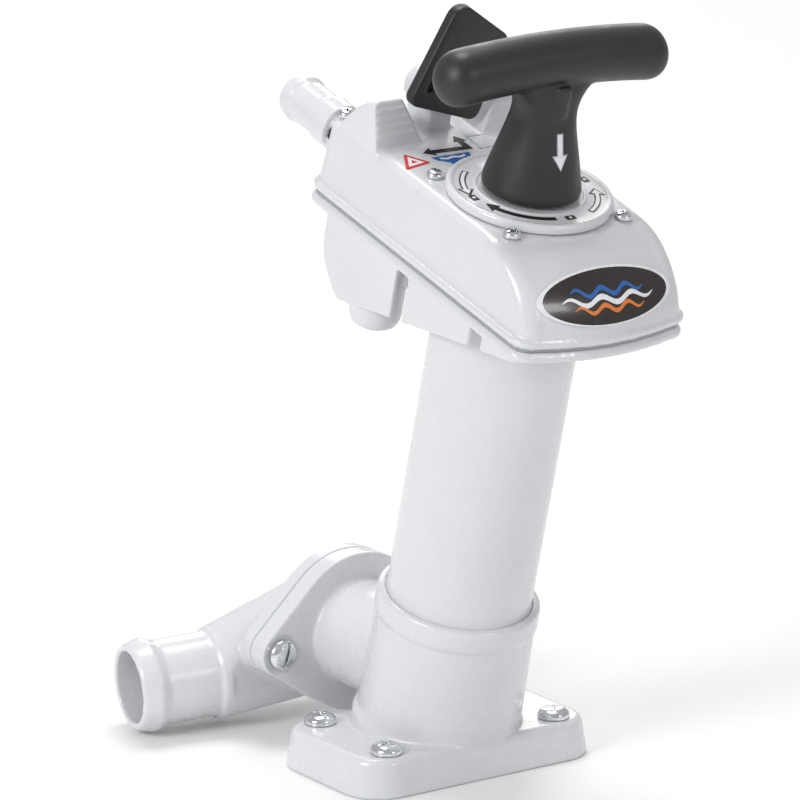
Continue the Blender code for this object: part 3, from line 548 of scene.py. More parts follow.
    @classmethod
    def mould(cls, obj: bpy.types.Object, voxel: float = 0.7, passes: int = 6) -> bpy.types.Object:
        """Give a solid even faces and the small radii of a moulding.

        Args:
            obj: A closed solid.
            voxel: Cell size in millimetres.
            passes: Smoothing passes, which set the radii.

        Returns:
            The same object.
        """
        remesh = obj.modifiers.new("remesh", "REMESH")
        remesh.mode = "VOXEL"
        remesh.voxel_size = voxel * MM
        soften = obj.modifiers.new("soften", "SMOOTH")
        soften.factor = 0.5
        soften.iterations = passes
        cls.settle(obj)
        obj.data.shade_smooth()
        return obj

    @classmethod
    def crisp(cls, obj: bpy.types.Object, width: float = 0.25, segments: int = 2) -> bpy.types.Object:
        """Bevel a machined or small piece's hard edges and shade it.

        Args:
            obj: The piece.
            width: Bevel width in millimetres.
            segments: Bevel segments.

        Returns:
            The same object.
        """
        bevel = obj.modifiers.new("edges", "BEVEL")
        bevel.width = width * MM
        bevel.segments = segments
        bevel.limit_method = "ANGLE"
        bevel.angle_limit = math.radians(40)
        bevel.use_clamp_overlap = True
        cls.settle(obj)
        obj.data.shade_smooth()
        obj.data.set_sharp_from_angle(angle=math.radians(38))
        return obj


def finish_piece(
    obj: bpy.types.Object,
    material: bpy.types.Material,
    body: str,
    replaced: Sequence[str] = (),
) -> bpy.types.Object:
    """Dress a piece, ride it on its body and hide the CAD nodes that it stands for.

    Args:
        obj: The piece.
        material: Its finish.
        body: The body that it rides on.
        replaced: CAD nodes that it stands for.

    Returns:
        The same object.
    """
    obj.data.materials.clear()
    obj.data.materials.append(material)
    for face in obj.data.polygons:
        face.material_index = 0
    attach(obj, body)
    if replaced:
        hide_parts(*replaced)
    LOG.info("made %s on %s", obj.name, body)
    return obj


# ---------------------------------------------------------------- outlines


def rounded_rectangle(
    half_x: float, half_y: float, corner: float, steps: int = 10
) -> list[tuple[float, float]]:
    """Outline of a rectangle with round corners.

    Args:
        half_x: Half its size along X.
        half_y: Half its size along Y.
        corner: Corner radius.
        steps: Steps in each corner.

    Returns:
        The outline's points.
    """
    points = []
    for quarter, (side_x, side_y) in enumerate([(1, 1), (-1, 1), (-1, -1), (1, -1)]):
        for step in range(steps + 1):
            angle = math.pi / 2 * (quarter + step / steps)
            points.append(
                (
                    side_x * (half_x - corner) + corner * math.cos(angle),
                    side_y * (half_y - corner) + corner * math.sin(angle),
                )
            )
    return points


def rounded_polygon(
    corners: Sequence[tuple[float, float, float]], steps: int = 8
) -> list[tuple[float, float]]:
    """A polygon whose corners are (x, y, radius), each turned into an arc.

    Args:
        corners: (x, y, radius) of each corner.
        steps: Steps in each corner.

    Returns:
        The outline's points.
    """
    points = []
    for index, (x, y, radius) in enumerate(corners):
        here = Vector((x, y))
        before = (Vector(corners[index - 1][:2]) - here).normalized()
        after = (Vector(corners[(index + 1) % len(corners)][:2]) - here).normalized()
        half = before.angle(after) / 2
        centre = here + (before + after).normalized() * radius / math.sin(half)
        first = here + before * radius / math.tan(half) - centre
        last = here + after * radius / math.tan(half) - centre
        swing = -first.angle_signed(last)
        for step in range(steps + 1):
            angle = swing * step / steps
            cos, sin = math.cos(angle), math.sin(angle)
            points.append(
                (centre.x + first.x * cos - first.y * sin, centre.y + first.x * sin + first.y * cos)
            )
    return points


@dataclass(frozen=True)
class HeadForm:
    """Plan and front profile that the cover, its lip and the rim share."""

    half_width: float = 38.5
    rear: float = 90.0
    top: float = 237.0
    lip_top: float = 209.3
    rim_front: float = -59.0
    rim_bow: float = 7.0
    front_centre_y: float = -18.0
    front_centre_z: float = 199.0
    front_depth: float = 42.0
    front_power: float = 2.2
    front_bow: float = 6.0

    def outline(
        self, half_width: float, front: float, rear: float, bow: float, corner: float, steps: int = 8
    ) -> list[tuple[float, float]]:
        """Plan: straight sides, round corners and a bowed front.

        Args:
            half_width: Half its width.
            front: Where the front lies at its sides.
            rear: Where the rear lies.
            bow: How far the front's middle stands forward.
            corner: Corner radius.
            steps: Steps in each corner.

        Returns:
            The outline's points.
        """
        reach = half_width - corner
        points = []
        for index in range(25):
            across = reach * (index / 12 - 1)
            points.append((across, front - bow * (1 - (across / half_width) ** 2)))
        front_corner = points[-1][1] + corner
        for side, height, start in ((1, front_corner, -0.5), (1, rear - corner, 0), (-1, rear - corner, 0.5)):
            for step in range(1 if start == -0.5 else 0, steps + 1):
                angle = math.pi * (start + step / steps / 2)
                points.append((side * reach + corner * math.cos(angle), height + corner * math.sin(angle)))
        for step in range(steps):
            angle = math.pi * (1 + step / steps / 2)
            points.append((-reach + corner * math.cos(angle), front_corner + corner * math.sin(angle)))
        return points

    def front_edge(self, height: float) -> float:
        """How far forward the front reaches at a height, at its sides."""
        part = min(1.0, max(0.0, (height - self.front_centre_z) / (self.top - self.front_centre_z)))
        return self.front_centre_y - self.front_depth * (1 - part**self.front_power) ** (1 / self.front_power)

    def front_surface(self, across: float, height: float) -> Vector:
        """A point on the cover's front."""
        bow = self.front_bow * (1 - (across / self.half_width) ** 2)
        return Vector((across, self.front_edge(height) - bow, height))

    def front_lift(self, across: float, height: float, lift: float) -> Vector:
        """A point raised off the cover's front.

        Args:
            across: Distance from the middle.
            height: Height up the barrel's axis.
            lift: How far it stands off.

        Returns:
            The point.
        """
        point = self.front_surface(across, height)
        right = self.front_surface(across + 0.2, height) - point
        up = self.front_surface(across, height + 0.2) - point
        return point + right.cross(up).normalized() * lift


HEAD = HeadForm()


# ---------------------------------------------------------------- foot and discharge


@dataclass
class Foot:
    """Plate, leaning socket, neck and front flange in one moulding."""

    half_x: float = 58.0
    half_y: float = 35.0
    height: float = 16.0
    corner: float = 17.0
    socket_low: float = 33.3
    socket_top: float = 32.3
    socket_end: float = 60.0
    lip_depth: float = 10.0
    neck_height: float = 39.5
    neck_radius: float = 22.5
    neck_bore: float = 17.0
    flange_front: float = 55.0
    flange_middle: float = 65.0
    flange_radius: float = 33.5
    lobe_radius: float = 9.5
    lobe_reach: float = 38.5
    lobe_tilt: float = math.radians(5)
    bore: float = 25.6
    seat: float = 29.65
    step: float = 46.0

    def flange_outline(self, grow: float = 0.0, steps: int = 120) -> list[tuple[float, float]]:
        """Rhombic flange: a round middle with two lobes on a slightly turned line.

        Args:
            grow: What to add to each radius.
            steps: Points round the outline.

        Returns:
            The outline's points.
        """
        circles = [(0.0, 0.0, self.flange_radius + grow)]
        for side in (1, -1):
            reach = side * self.lobe_reach
            circles.append(
                (
                    reach * math.cos(self.lobe_tilt),
                    reach * math.sin(self.lobe_tilt),
                    self.lobe_radius + grow,
                )
            )
        points = []
        for index in range(steps):
            angle = 2 * math.pi * (index + 0.5) / steps
            cos, sin = math.cos(angle), math.sin(angle)
            x, z, radius = max(circles, key=lambda item: item[0] * cos + item[1] * sin + item[2])
            points.append((x + radius * cos, self.neck_height + z + radius * sin))
        return points

    def lobes(self) -> list[tuple[float, float]]:
        """Centres of the two flange screws.

        Returns:
            (x, z) of each centre.
        """
        x = self.lobe_reach * math.cos(self.lobe_tilt)
        z = self.lobe_reach * math.sin(self.lobe_tilt)
        return [(x, self.neck_height + z), (-x, self.neck_height - z)]

    def leaning(
        self, name: str, level: float, stations: Sequence[tuple[float, float]], sides: int = 96
    ) -> bpy.types.Object:
        """A round piece on the pump's axis whose lower end is level with the world.

        Args:
            name: The object's name.
            level: World height of its lower end.
            stations: (radius, height) pairs above that end.
            sides: Points round the circle.

        Returns:
            The new object.
        """
        lean = FRAME.lean
        radius = stations[0][0]
        low = []
        for x, y in Shop.circle(radius, sides):
            low.append((x, y, (level - FRAME.plate_height - y * math.sin(lean)) / math.cos(lean)))
        rings = [low] + [[(*point, height) for point in Shop.circle(r, sides)] for r, height in stations]
        return Shop.loft(name, rings, LEANING)

    def plate(self) -> bpy.types.Object:
        """The drafted plate with rounded upper edges.

        Returns:
            The new object.
        """
        rings = []
        for inset, height in ((0.4, 0.0), (0.0, 0.5), (1.8, 13.2), (2.3, 14.6), (3.4, 15.6), (4.8, 16.0)):
            ring = rounded_rectangle(self.half_x - inset, self.half_y - inset, self.corner - inset)
            rings.append([(*point, height) for point in ring])
        return Shop.loft("foot", rings)

    def build(self, finishes: Finishes) -> None:
        """Make the foot moulding.

        Args:
            finishes: The pump's finishes.
        """
        foot = self.plate()
        lip = self.socket_end - self.lip_depth
        top = self.socket_top
        profile = [
            (self.socket_low, 12.0), (top + 0.1, lip - 0.4), (top + 0.95, lip + 0.6),
            (top + 0.8, 58.6), (top + 0.2, 59.5), (top - 1.2, 60.0),
        ]
        flare = [(self.socket_low + 1.6, 2.0), (self.socket_low, 5.5)]
        solids = [
            self.leaning("socket", 6.0, profile),
            self.leaning("socket_flare", 8.0, flare),
            Shop.turned(
                "neck",
                [(self.neck_radius, 14.0), (self.neck_radius, 57.0)],
                96,
                (0, self.neck_height),
                along=Axis.Y,
            ),
            Shop.prism("flange", self.flange_outline(), self.flange_front, self.flange_middle, Axis.Y),
        ]
        Shop.combine(foot, solids, "UNION")
        cuts = [
            self.leaning("chamber", 7.0, [(self.bore, 16.0), (self.bore, self.step + 3)]),
            Shop.turned(
                "seat",
                [(self.seat, self.step), (self.seat, 59.3), (self.seat + 1.2, 62.0)],
                96,
                place=LEANING,
            ),
            Shop.turned(
                "neck_bore",
                [(self.neck_bore, 6.0), (self.neck_bore, 67.0)],
                72,
                (0, self.neck_height),
                along=Axis.Y,
            ),
        ]
        inlet = Shop.turned("inlet", [(16.0, -1), (16.0, 11.0)], 72)
        spider = [Shop.turned("hub", [(6.5, -2), (6.5, 4.0)], 48)]
        spider += [Shop.box("arm", (-x, -y, -2), (x, y, 4.0)) for x, y in ((18, 1.5), (1.5, 18))]
        cuts.append(Shop.combine(inlet, spider, "DIFFERENCE"))
        cuts.append(
            Shop.turned("groove", [(20.0, -1), (27.0, -1), (27.0, 3.0), (20.0, 3.0)], 72, hollow=True)
        )
        for x, z in self.lobes():
            cuts.append(Shop.turned("recess", [(8.3, 53.0), (8.3, 55.8)], 48, (x, z), along=Axis.Y))
            cuts.append(Shop.turned("hole", [(2.8, 53.0), (2.8, 67.0)], 24, (x, z), along=Axis.Y))
        Shop.combine(foot, cuts, "DIFFERENCE")
        Shop.mould(foot, 0.62, 7)
        finish_piece(foot, finishes.moulded, "pump", ["base"])


@dataclass
class Elbow:
    """Rear flange, tapering elbow and the big hose barb."""

    foot: Foot
    radius: float = 28.0
    knee: tuple[float, float, float] = (-2.0, 83.0, 36.0)
    knee_radius: float = 22.0
    root: tuple[float, float, float] = (-50.0, 89.5, 22.0)
    azimuth: float = math.radians(169)
    drop: float = math.radians(3)
    barb_length: float = 37.0
    barb_radius: float = 17.8
    ridge: float = 19.6
    bore: float = 15.0

    def direction(self) -> Vector:
        """The way the barb points."""
        level = math.cos(self.drop)
        return Vector((level * math.cos(self.azimuth), level * math.sin(self.azimuth), -math.sin(self.drop)))

    def neck_ring(self, radius: float, depth: float) -> list[Vector]:
        """A circle round the neck's axis."""
        return [Vector((x, depth, self.foot.neck_height + z)) for x, z in Shop.circle(radius, 72)]

    def barb_ring(self, radius: float) -> list[Vector]:
        """A circle at the barb's root, square to it.

        Args:
            radius: Its radius.

        Returns:
            The circle's points.
        """
        toward = self.direction()
        side = toward.cross(Vector((0, 0, 1))).normalized()
        up = side.cross(toward)
        return [Vector(self.root) + side * x + up * z for x, z in Shop.circle(radius, 72)]

    def knee_ball(self, radius: float) -> list[Vector]:
        """Points of a ball at the knee.

        Args:
            radius: Its radius.

        Returns:
            The ball's points.
        """
        points = []
        for belt in range(1, 20):
            tilt = math.pi * (belt / 20 - 0.5)
            for x, y in Shop.circle(radius * math.cos(tilt), 40):
                points.append(Vector(self.knee) + Vector((x, y, radius * math.sin(tilt))))
        return points

    def barb(self, name: str, profile: Sequence[tuple[float, float]]) -> bpy.types.Object:
        """A round shape along the barb."""
        turn = self.direction().to_track_quat("Z", "Y").to_matrix().to_4x4()
        return Shop.turned(name, profile, 96, place=Matrix.Translation(Vector(self.root) * MM) @ turn)

    def build(self, finishes: Finishes) -> None:
        """Make the elbow.

        Args:
            finishes: The pump's finishes.
        """
        rear = 72.0
        front = self.foot.flange_middle + 0.3
        elbow = Shop.prism("elbow", self.foot.flange_outline(), front, rear, Axis.Y)
        r, end = self.barb_radius, self.barb_length
        profile = [
            (r + 1.4, -2.0), (r + 1.4, 1.6), (r, 2.4), (r, end - 12), (self.ridge - 0.5, end - 9),
            (self.ridge, end - 8),
            (self.ridge - 0.1, end - 6.6), (r + 0.2, end - 1), (r - 0.6, end),
        ]
        skin = (
            self.neck_ring(self.radius, rear - 1)
            + self.knee_ball(self.knee_radius)
            + self.barb_ring(r + 1.7)
        )
        solids = [
            Shop.hull("body", [point for point in skin if point.y >= rear - 1]),
            self.barb("barb", profile),
        ]
        Shop.combine(elbow, solids, "UNION")
        ball = self.knee_ball(self.foot.neck_bore)
        cuts = [
            Shop.hull("bore_in", self.neck_ring(self.foot.neck_bore + 1, self.foot.flange_middle - 2) + ball),
            Shop.hull("bore_out", ball + self.barb_ring(self.bore - 0.6)),
            self.barb("barb_bore", [(self.bore, -4), (self.bore, end + 3)]),
            Shop.turned("pocket", [(22.0, 61.0), (22.0, 68.0)], 72, (0, self.foot.neck_height), along=Axis.Y),
        ]
        for x, z in self.foot.lobes():
            cuts.append(Shop.turned("hole", [(2.8, 63.0), (2.8, 71.5)], 24, (x, z), along=Axis.Y))
        Shop.combine(elbow, cuts, "DIFFERENCE")
        Shop.mould(elbow, 0.62, 6)
        finish_piece(elbow, finishes.moulded, "pump", ["discharge_elbow"])


# ---------------------------------------------------------------- barrel and head


class Banded:
    """Makes the stepped bands of the head's rim and lip."""

    @staticmethod
    def banded(
        name: str, outline: Sequence[tuple[float, float]], bands: Sequence[tuple[float, float]]
    ) -> bpy.types.Object:
        """An outline carried up through (height, inset) stations.

        Args:
            name: The object's name.
            outline: Plan at full size.
            bands: Heights and how far the outline draws in at each.

        Returns:
            The new object.
        """
        middle_y = (HEAD.rear + HEAD.rim_front) / 2
        half_y = (HEAD.rear - HEAD.rim_front) / 2
        half_x = HEAD.half_width + 2
        rings = []
        for height, inset in bands:
            scale_x, scale_y = 1 - inset / half_x, 1 - inset / half_y
            rings.append([(x * scale_x, middle_y + (y - middle_y) * scale_y, height) for x, y in outline])
        return Shop.loft(name, rings, LEANING)


@dataclass
class Barrel(Banded):
    """Barrel, open housing under the head and its rim in one moulding."""

    radius: float = 29.35
    bore: float = 25.6
    foot: float = 46.3
    rim_low: float = 200.0
    rim_top: float = 204.2
    wall: float = 2.5
    intake: tuple[float, float] = (-25.0, 52.0)

    def build(self, finishes: Finishes) -> None:
        """Make the barrel and its head housing.

        Args:
            finishes: The pump's finishes.
        """
        grow = 2.0
        rim_shape = HEAD.outline(HEAD.half_width + grow, HEAD.rim_front, HEAD.rear, HEAD.rim_bow, 8.0)
        rim = self.banded(
            "barrel",
            rim_shape,
            [(self.rim_low, 0.5), (200.6, 0.0), (202.6, 0.0), (203.0, 0.9), (self.rim_top, 0.9)],
        )
        half = HEAD.half_width - 2.0
        side = [
            (-64.4, 199.8), (63.2, 166.3), (67.5, 169.2), (73.0, 174.7), (76.8, 180.0),
            (79.3, 184.8), (81.0, 190.0), (81.9, 194.4), (82.5, 202.0), (-64.4, 202.0),
        ]
        skirt = Shop.prism("skirt", side, -half, half, Axis.X, LEANING)
        plan = HEAD.outline(half + 0.05, HEAD.rim_front + 4, 83.0, HEAD.rim_bow, 8.0)
        Shop.combine(skirt, [Shop.prism("plan", plan, 150, 201.5, place=LEANING)], "INTERSECT")
        inner = half - self.wall
        hollow = [
            (-58, 120), (60.2, 120), (60.2, 168), (70.2, 176),
            (76.6, 186), (79.2, 195), (79.4, 198.5), (-58, 198.5),
        ]
        Shop.combine(skirt, [Shop.prism("hollow", hollow, -inner, inner, Axis.X, LEANING)], "DIFFERENCE")
        tube = [(29.9, self.foot), (29.9, 59.6), (self.radius, 59.9), (self.radius, 201.0)]
        solids = [skirt, Shop.turned("tube", tube, 96, place=LEANING)]
        port = [(8.0, 160.0), (9.2, 160.8), (10.1, 162.4), (10.6, 164.4), (10.75, 166.5), (10.75, 201.0)]
        solids.append(Shop.turned("port", port, 64, self.intake, LEANING))
        for x, y in ((-26.5, -26.5), (-26.5, 26.5), (26.5, -26.5), (26.5, 26.5)):
            solids.append(Shop.turned("post", [(4.5, 192.5), (4.5, 201.0)], 32, (x, y), LEANING))
        Shop.combine(rim, solids, "UNION")
        cuts = [
            Shop.turned("bore", [(self.bore, 40.0), (self.bore, 206.0)], 96, place=LEANING),
            Shop.turned("port_bore", [(7.0, 150.0), (7.0, 206.0)], 48, self.intake, LEANING),
        ]
        for flank in (-1, 1):
            for start, stop, top in ((20, 28, 197), (-31, -23, 198)):
                low, high = sorted((flank * (inner - 0.5), flank * (half + 2)))
                cuts.append(Shop.box("notch", (low, start, 150), (high, stop, top), LEANING))
        Shop.combine(rim, cuts, "DIFFERENCE")
        Shop.mould(rim, 0.7, 4)
        finish_piece(rim, finishes.moulded, "pump", ["pump_body"])


@dataclass
class Cover(Banded):
    """Valve cover with the lever's pods, its pivot boss and the small barb."""

    pod_top: float = 255.0
    lever_height: float = 250.0
    boss_front: float = 61.6

    def rings(self) -> list[list[Point]]:
        """Plan outlines from the lip to the flat top.

        Returns:
            The rings, from the lip up.
        """
        rings = []
        edge = 4.5
        for index in range(27):
            part = 0.26 + 0.74 * math.sin(math.pi / 2 * index / 26)
            height = HEAD.front_centre_z + part * (HEAD.top - HEAD.front_centre_z)
            taper = 1.5 * (height - HEAD.lip_top) / (HEAD.top - HEAD.lip_top)
            rise = max(0.0, height - (HEAD.top - edge)) / edge
            taper += edge * (1 - math.sqrt(max(0.0, 1 - rise**2)))
            front = HEAD.front_edge(height)
            ring = HEAD.outline(HEAD.half_width - taper, front, HEAD.rear - 0.6 - taper, HEAD.front_bow, 8.0)
            rings.append([(*point, height) for point in ring])
        return rings

    def pod(self, side: int) -> bpy.types.Object:
        """One wedge-shaped housing beside the lever, with fine ribs on its front.

        Args:
            side: -1 for the left pod, 1 for the right.

        Returns:
            The pod.
        """
        slope = [
            (60.5, 254.7), (63, 253.4), (65, 251.7), (67.6, 249.8), (70, 247.8),
            (73, 244), (76, 240.6), (78, 237), (78, 232),
        ]
        profile = [(51.5, 232), (53, 237), (58.6, self.pod_top - 0.6), (59.4, self.pod_top)] + slope
        pod = Shop.prism("pod", profile, *sorted((5 * side, 40 * side)), Axis.X, LEANING)
        inner = [(11.5, 232), (14, 237), (23, self.pod_top - 0.4), (24, self.pod_top + 0.1)]
        outer = [(34.5, self.pod_top + 0.1), (36.6, self.pod_top - 1.5), (37.0, 237), (36.8, 232)]
        width = Shop.prism("width", [(side * x, z) for x, z in inner + outer], 45, 82, Axis.Y, LEANING)
        return Shop.combine(pod, [width], "INTERSECT")

    def ribs(self) -> list[bpy.types.Object]:
        """Fine level ribs on the pods' fronts.

        Returns:
            The ribs.
        """
        ribs = []
        for side in (-1, 1):
            for step in range(4):
                height = 241.5 + 3.2 * step
                front = 53 + (height - 237) * 0.32
                inner = 15.5 + (height - 237) * 0.5
                low, high = sorted((side * inner, side * 35.2))
                ribs.append(
                    Shop.box("rib", (low, front - 0.35, height), (high, front + 1.5, height + 0.9), LEANING)
                )
        return ribs

    def build(self, finishes: Finishes) -> None:
        """Make the cover.

        Args:
            finishes: The pump's finishes.
        """
        cover = Shop.loft("cover", self.rings(), LEANING)
        lip = HEAD.outline(HEAD.half_width + 2, HEAD.rim_front, HEAD.rear, HEAD.rim_bow, 8.0)
        foot = (0, self.lever_height)
        bowl = [(10, 87.7), (10, 98), (9.1, 99), (9.1, 113), (10, 115.4), (10, 116), (9.1, 120.6), (8.4, 121)]
        solids = [
            self.banded(
                "lip",
                lip,
                [(205.4, 0.9), (206.4, 0.9), (206.8, 0.0), (HEAD.lip_top - 0.5, 0.0), (HEAD.lip_top, 0.7)],
            )
        ]
        solids += [self.pod(side) for side in (-1, 1)] + self.ribs()
        solids += [
            Shop.turned("boss", [(8, self.boss_front), (8, 80)], 64, foot, LEANING, along=Axis.Y),
            Shop.box("boss_foot", (-5.5, self.boss_front + 1, 235), (5.5, 79, 246), LEANING),
            Shop.turned("bowl", bowl, 64, (-28, 228.5), LEANING, along=Axis.Y),
        ]
        Shop.combine(cover, solids, "UNION")
        inside = HEAD.outline(HEAD.half_width - 4, -37.0, 77.5, 4.0, 6.0)
        cuts = [
            Shop.prism("inside", inside, 204.0, 233.0, place=LEANING),
            Shop.turned("bowl_bore", [(6.5, 74), (6.5, 123)], 48, (-28, 227), LEANING, along=Axis.Y),
            Shop.turned("dial_seat", [(17.3, 229), (17.3, 239)], 64, place=LEANING),
        ]
        Shop.combine(cover, cuts, "DIFFERENCE")
        Shop.mould(cover, 0.62, 5)
        finish_piece(cover, finishes.moulded, "pump", ["valve_cover"])
        self.emboss(finishes)

    def emboss(self, finishes: Finishes) -> None:
        """Fine raised frame lines at the top's right rear.

        Args:
            finishes: The pump's finishes.
        """
        lines = [
            ((6, 42.2), (34, 42.8)), ((6, 52.6), (34, 53.2)),
            ((6, 42.2), (6.6, 53.2)), ((33.4, 42.2), (34, 53.2)),
        ]
        for index, (low, high) in enumerate(lines):
            line = Shop.box(f"frame_line_{index}", (*low, 236.6), (*high, 237.25), LEANING)
            Shop.crisp(line, 0.08, 1)
            finish_piece(line, finishes.inks["grey"], "pump")


@dataclass
class Dial:
    """The round dial with its rim, fine rings and printed marks."""

    radius: float = 33.0
    low: float = 237.3
    top: float = 241.0

    def build(self, finishes: Finishes) -> None:
        """Make the dial.

        Args:
            finishes: The pump's finishes.
        """
        r, top = self.radius, self.top
        profile = [
            (6.5, 230), (12, 230), (12, 218), (17, 218), (17, self.low), (r - 0.3, self.low),
            (r, self.low + 0.3),
            (r, top - 1.3), (r - 0.35, top - 0.45), (r - 1.1, top), (r - 1.9, top), (r - 2.5, top - 0.35),
            (r - 2.9, top - 0.7), (22.4, top - 0.7), (22.1, top - 0.35), (21.2, top - 0.35),
            (20.9, top - 0.7),
            (11, top - 0.7), (11, top - 3.4), (6.5, top - 3.4),
        ]
        dial = Shop.turned("dial", profile, 144, place=LEANING, hollow=True)
        Shop.crisp(dial, 0.12, 2)
        finish_piece(dial, finishes.moulded, "pump", ["seal_housing"])


@dataclass
class Badge:
    """Oval front badge: dark lacquer, pale edge and a plain wave motif."""

    half_x: float = 30.2
    half_z: float = 8.5
    middle: float = 222.0
    offset: float = -1.0

    def patch(
        self,
        name: str,
        spot: Callable[[float, float], tuple[float, float]],
        low: float,
        high: float,
        rows: int,
        columns: int,
        ring: bool,
    ) -> bpy.types.Object:
        """A thin closed sheet over part of the front.

        Args:
            name: The object's name.
            spot: Maps (row, column), each 0 to 1, to (across, height).
            low: Lift of its underside.
            high: Lift of its face.
            rows: Cells one way.
            columns: Cells the other way.
            ring: The columns run round and meet.

        Returns:
            The new object.
        """
        work = bmesh.new()
        count = columns if ring else columns + 1
        sheets = []
        for lift in (low, high):
            sheet = []
            for row in range(rows + 1):
                line = []
                for column in range(count):
                    across, height = spot(row / rows, column / columns)
                    line.append(work.verts.new(HEAD.front_lift(across, height, lift) * MM))
                sheet.append(line)
            sheets.append(sheet)
        for sheet in sheets:
            for row in range(rows):
                for column in range(columns):
                    after = (column + 1) % count
                    work.faces.new(
                        (
                            sheet[row][column],
                            sheet[row][after],
                            sheet[row + 1][after],
                            sheet[row + 1][column],
                        )
                    )
        under, over = sheets
        for row in (0, rows):
            for column in range(columns):
                after = (column + 1) % count
                work.faces.new((under[row][column], under[row][after], over[row][after], over[row][column]))
        if not ring:
            for column in (0, columns):
                for row in range(rows):
                    work.faces.new(
                        (
                            under[row][column],
                            under[row + 1][column],
                            over[row + 1][column],
                            over[row][column],
                        )
                    )
        obj = Shop.link(name, work, LEANING)
        obj.data.shade_smooth()
        obj.data.set_sharp_from_angle(angle=math.radians(40))
        return obj

    def oval(self, inner: float, outer: float) -> Callable[[float, float], tuple[float, float]]:
        """Map to an oval ring between two shares of the badge's size.

        Args:
            inner: Share of the badge's size inside.
            outer: Share of the badge's size outside.

        Returns:
            A map from (row, column) to (across, height).
        """

        def spot(row: float, column: float) -> tuple[float, float]:
            """Place one point of the oval ring.

            Args:
                row: Place across the band, 0 to 1.
                column: Place along the band, 0 to 1.

            Returns:
                The point, as (across, height).
            """
            share = inner + (outer - inner) * row
            angle = 2 * math.pi * column
            across = self.offset + self.half_x * share * math.cos(angle)
            return across, self.middle + self.half_z * share * math.sin(angle)

        return spot

    def wave(self, rise: float, reach: float, thick: float) -> Callable[[float, float], tuple[float, float]]:
        """Map to a wavy band across the badge.

        Args:
            rise: Height over the badge's middle.
            reach: Half its length.
            thick: Its thickness.

        Returns:
            A map from (row, column) to (across, height).
        """

        def spot(row: float, column: float) -> tuple[float, float]:
            """Place one point of the wavy band.

            Args:
                row: Place across the band, 0 to 1.
                column: Place along the band, 0 to 1.

            Returns:
                The point, as (across, height).
            """
            across = self.offset + reach * (2 * column - 1)
            swell = 1.1 * math.sin(column * 6 * math.pi)
            taper = math.sqrt(max(0.02, 1 - (2 * column - 1) ** 2))
            return across, self.middle + rise + swell + thick * taper * (row - 0.5)

        return spot

    def build(self, finishes: Finishes) -> None:
        """Make the badge.

        Args:
            finishes: The pump's finishes.
        """
        plate = self.patch("badge_plate", self.oval(0.02, 1.0), 0.0, 1.55, 8, 96, True)
        finish_piece(plate, finishes.badge, "pump", ["badge"])
        edge = self.patch("badge_edge", self.oval(0.955, 1.012), 0.0, 1.75, 1, 96, True)
        finish_piece(edge, finishes.inks["white"], "pump")
        motif = [
            ("upper", 2.4, 17.0, 1.5, "blue"),
            ("middle", -0.2, 21.0, 1.7, "white"),
            ("lower", -2.8, 16.0, 1.5, "orange"),
        ]
        for name, rise, reach, thick, ink in motif:
            band = self.patch(f"badge_wave_{name}", self.wave(rise, reach, thick), 1.4, 1.68, 2, 60, False)
            finish_piece(band, finishes.inks[ink], "pump")


# ---------------------------------------------------------------- printed marks


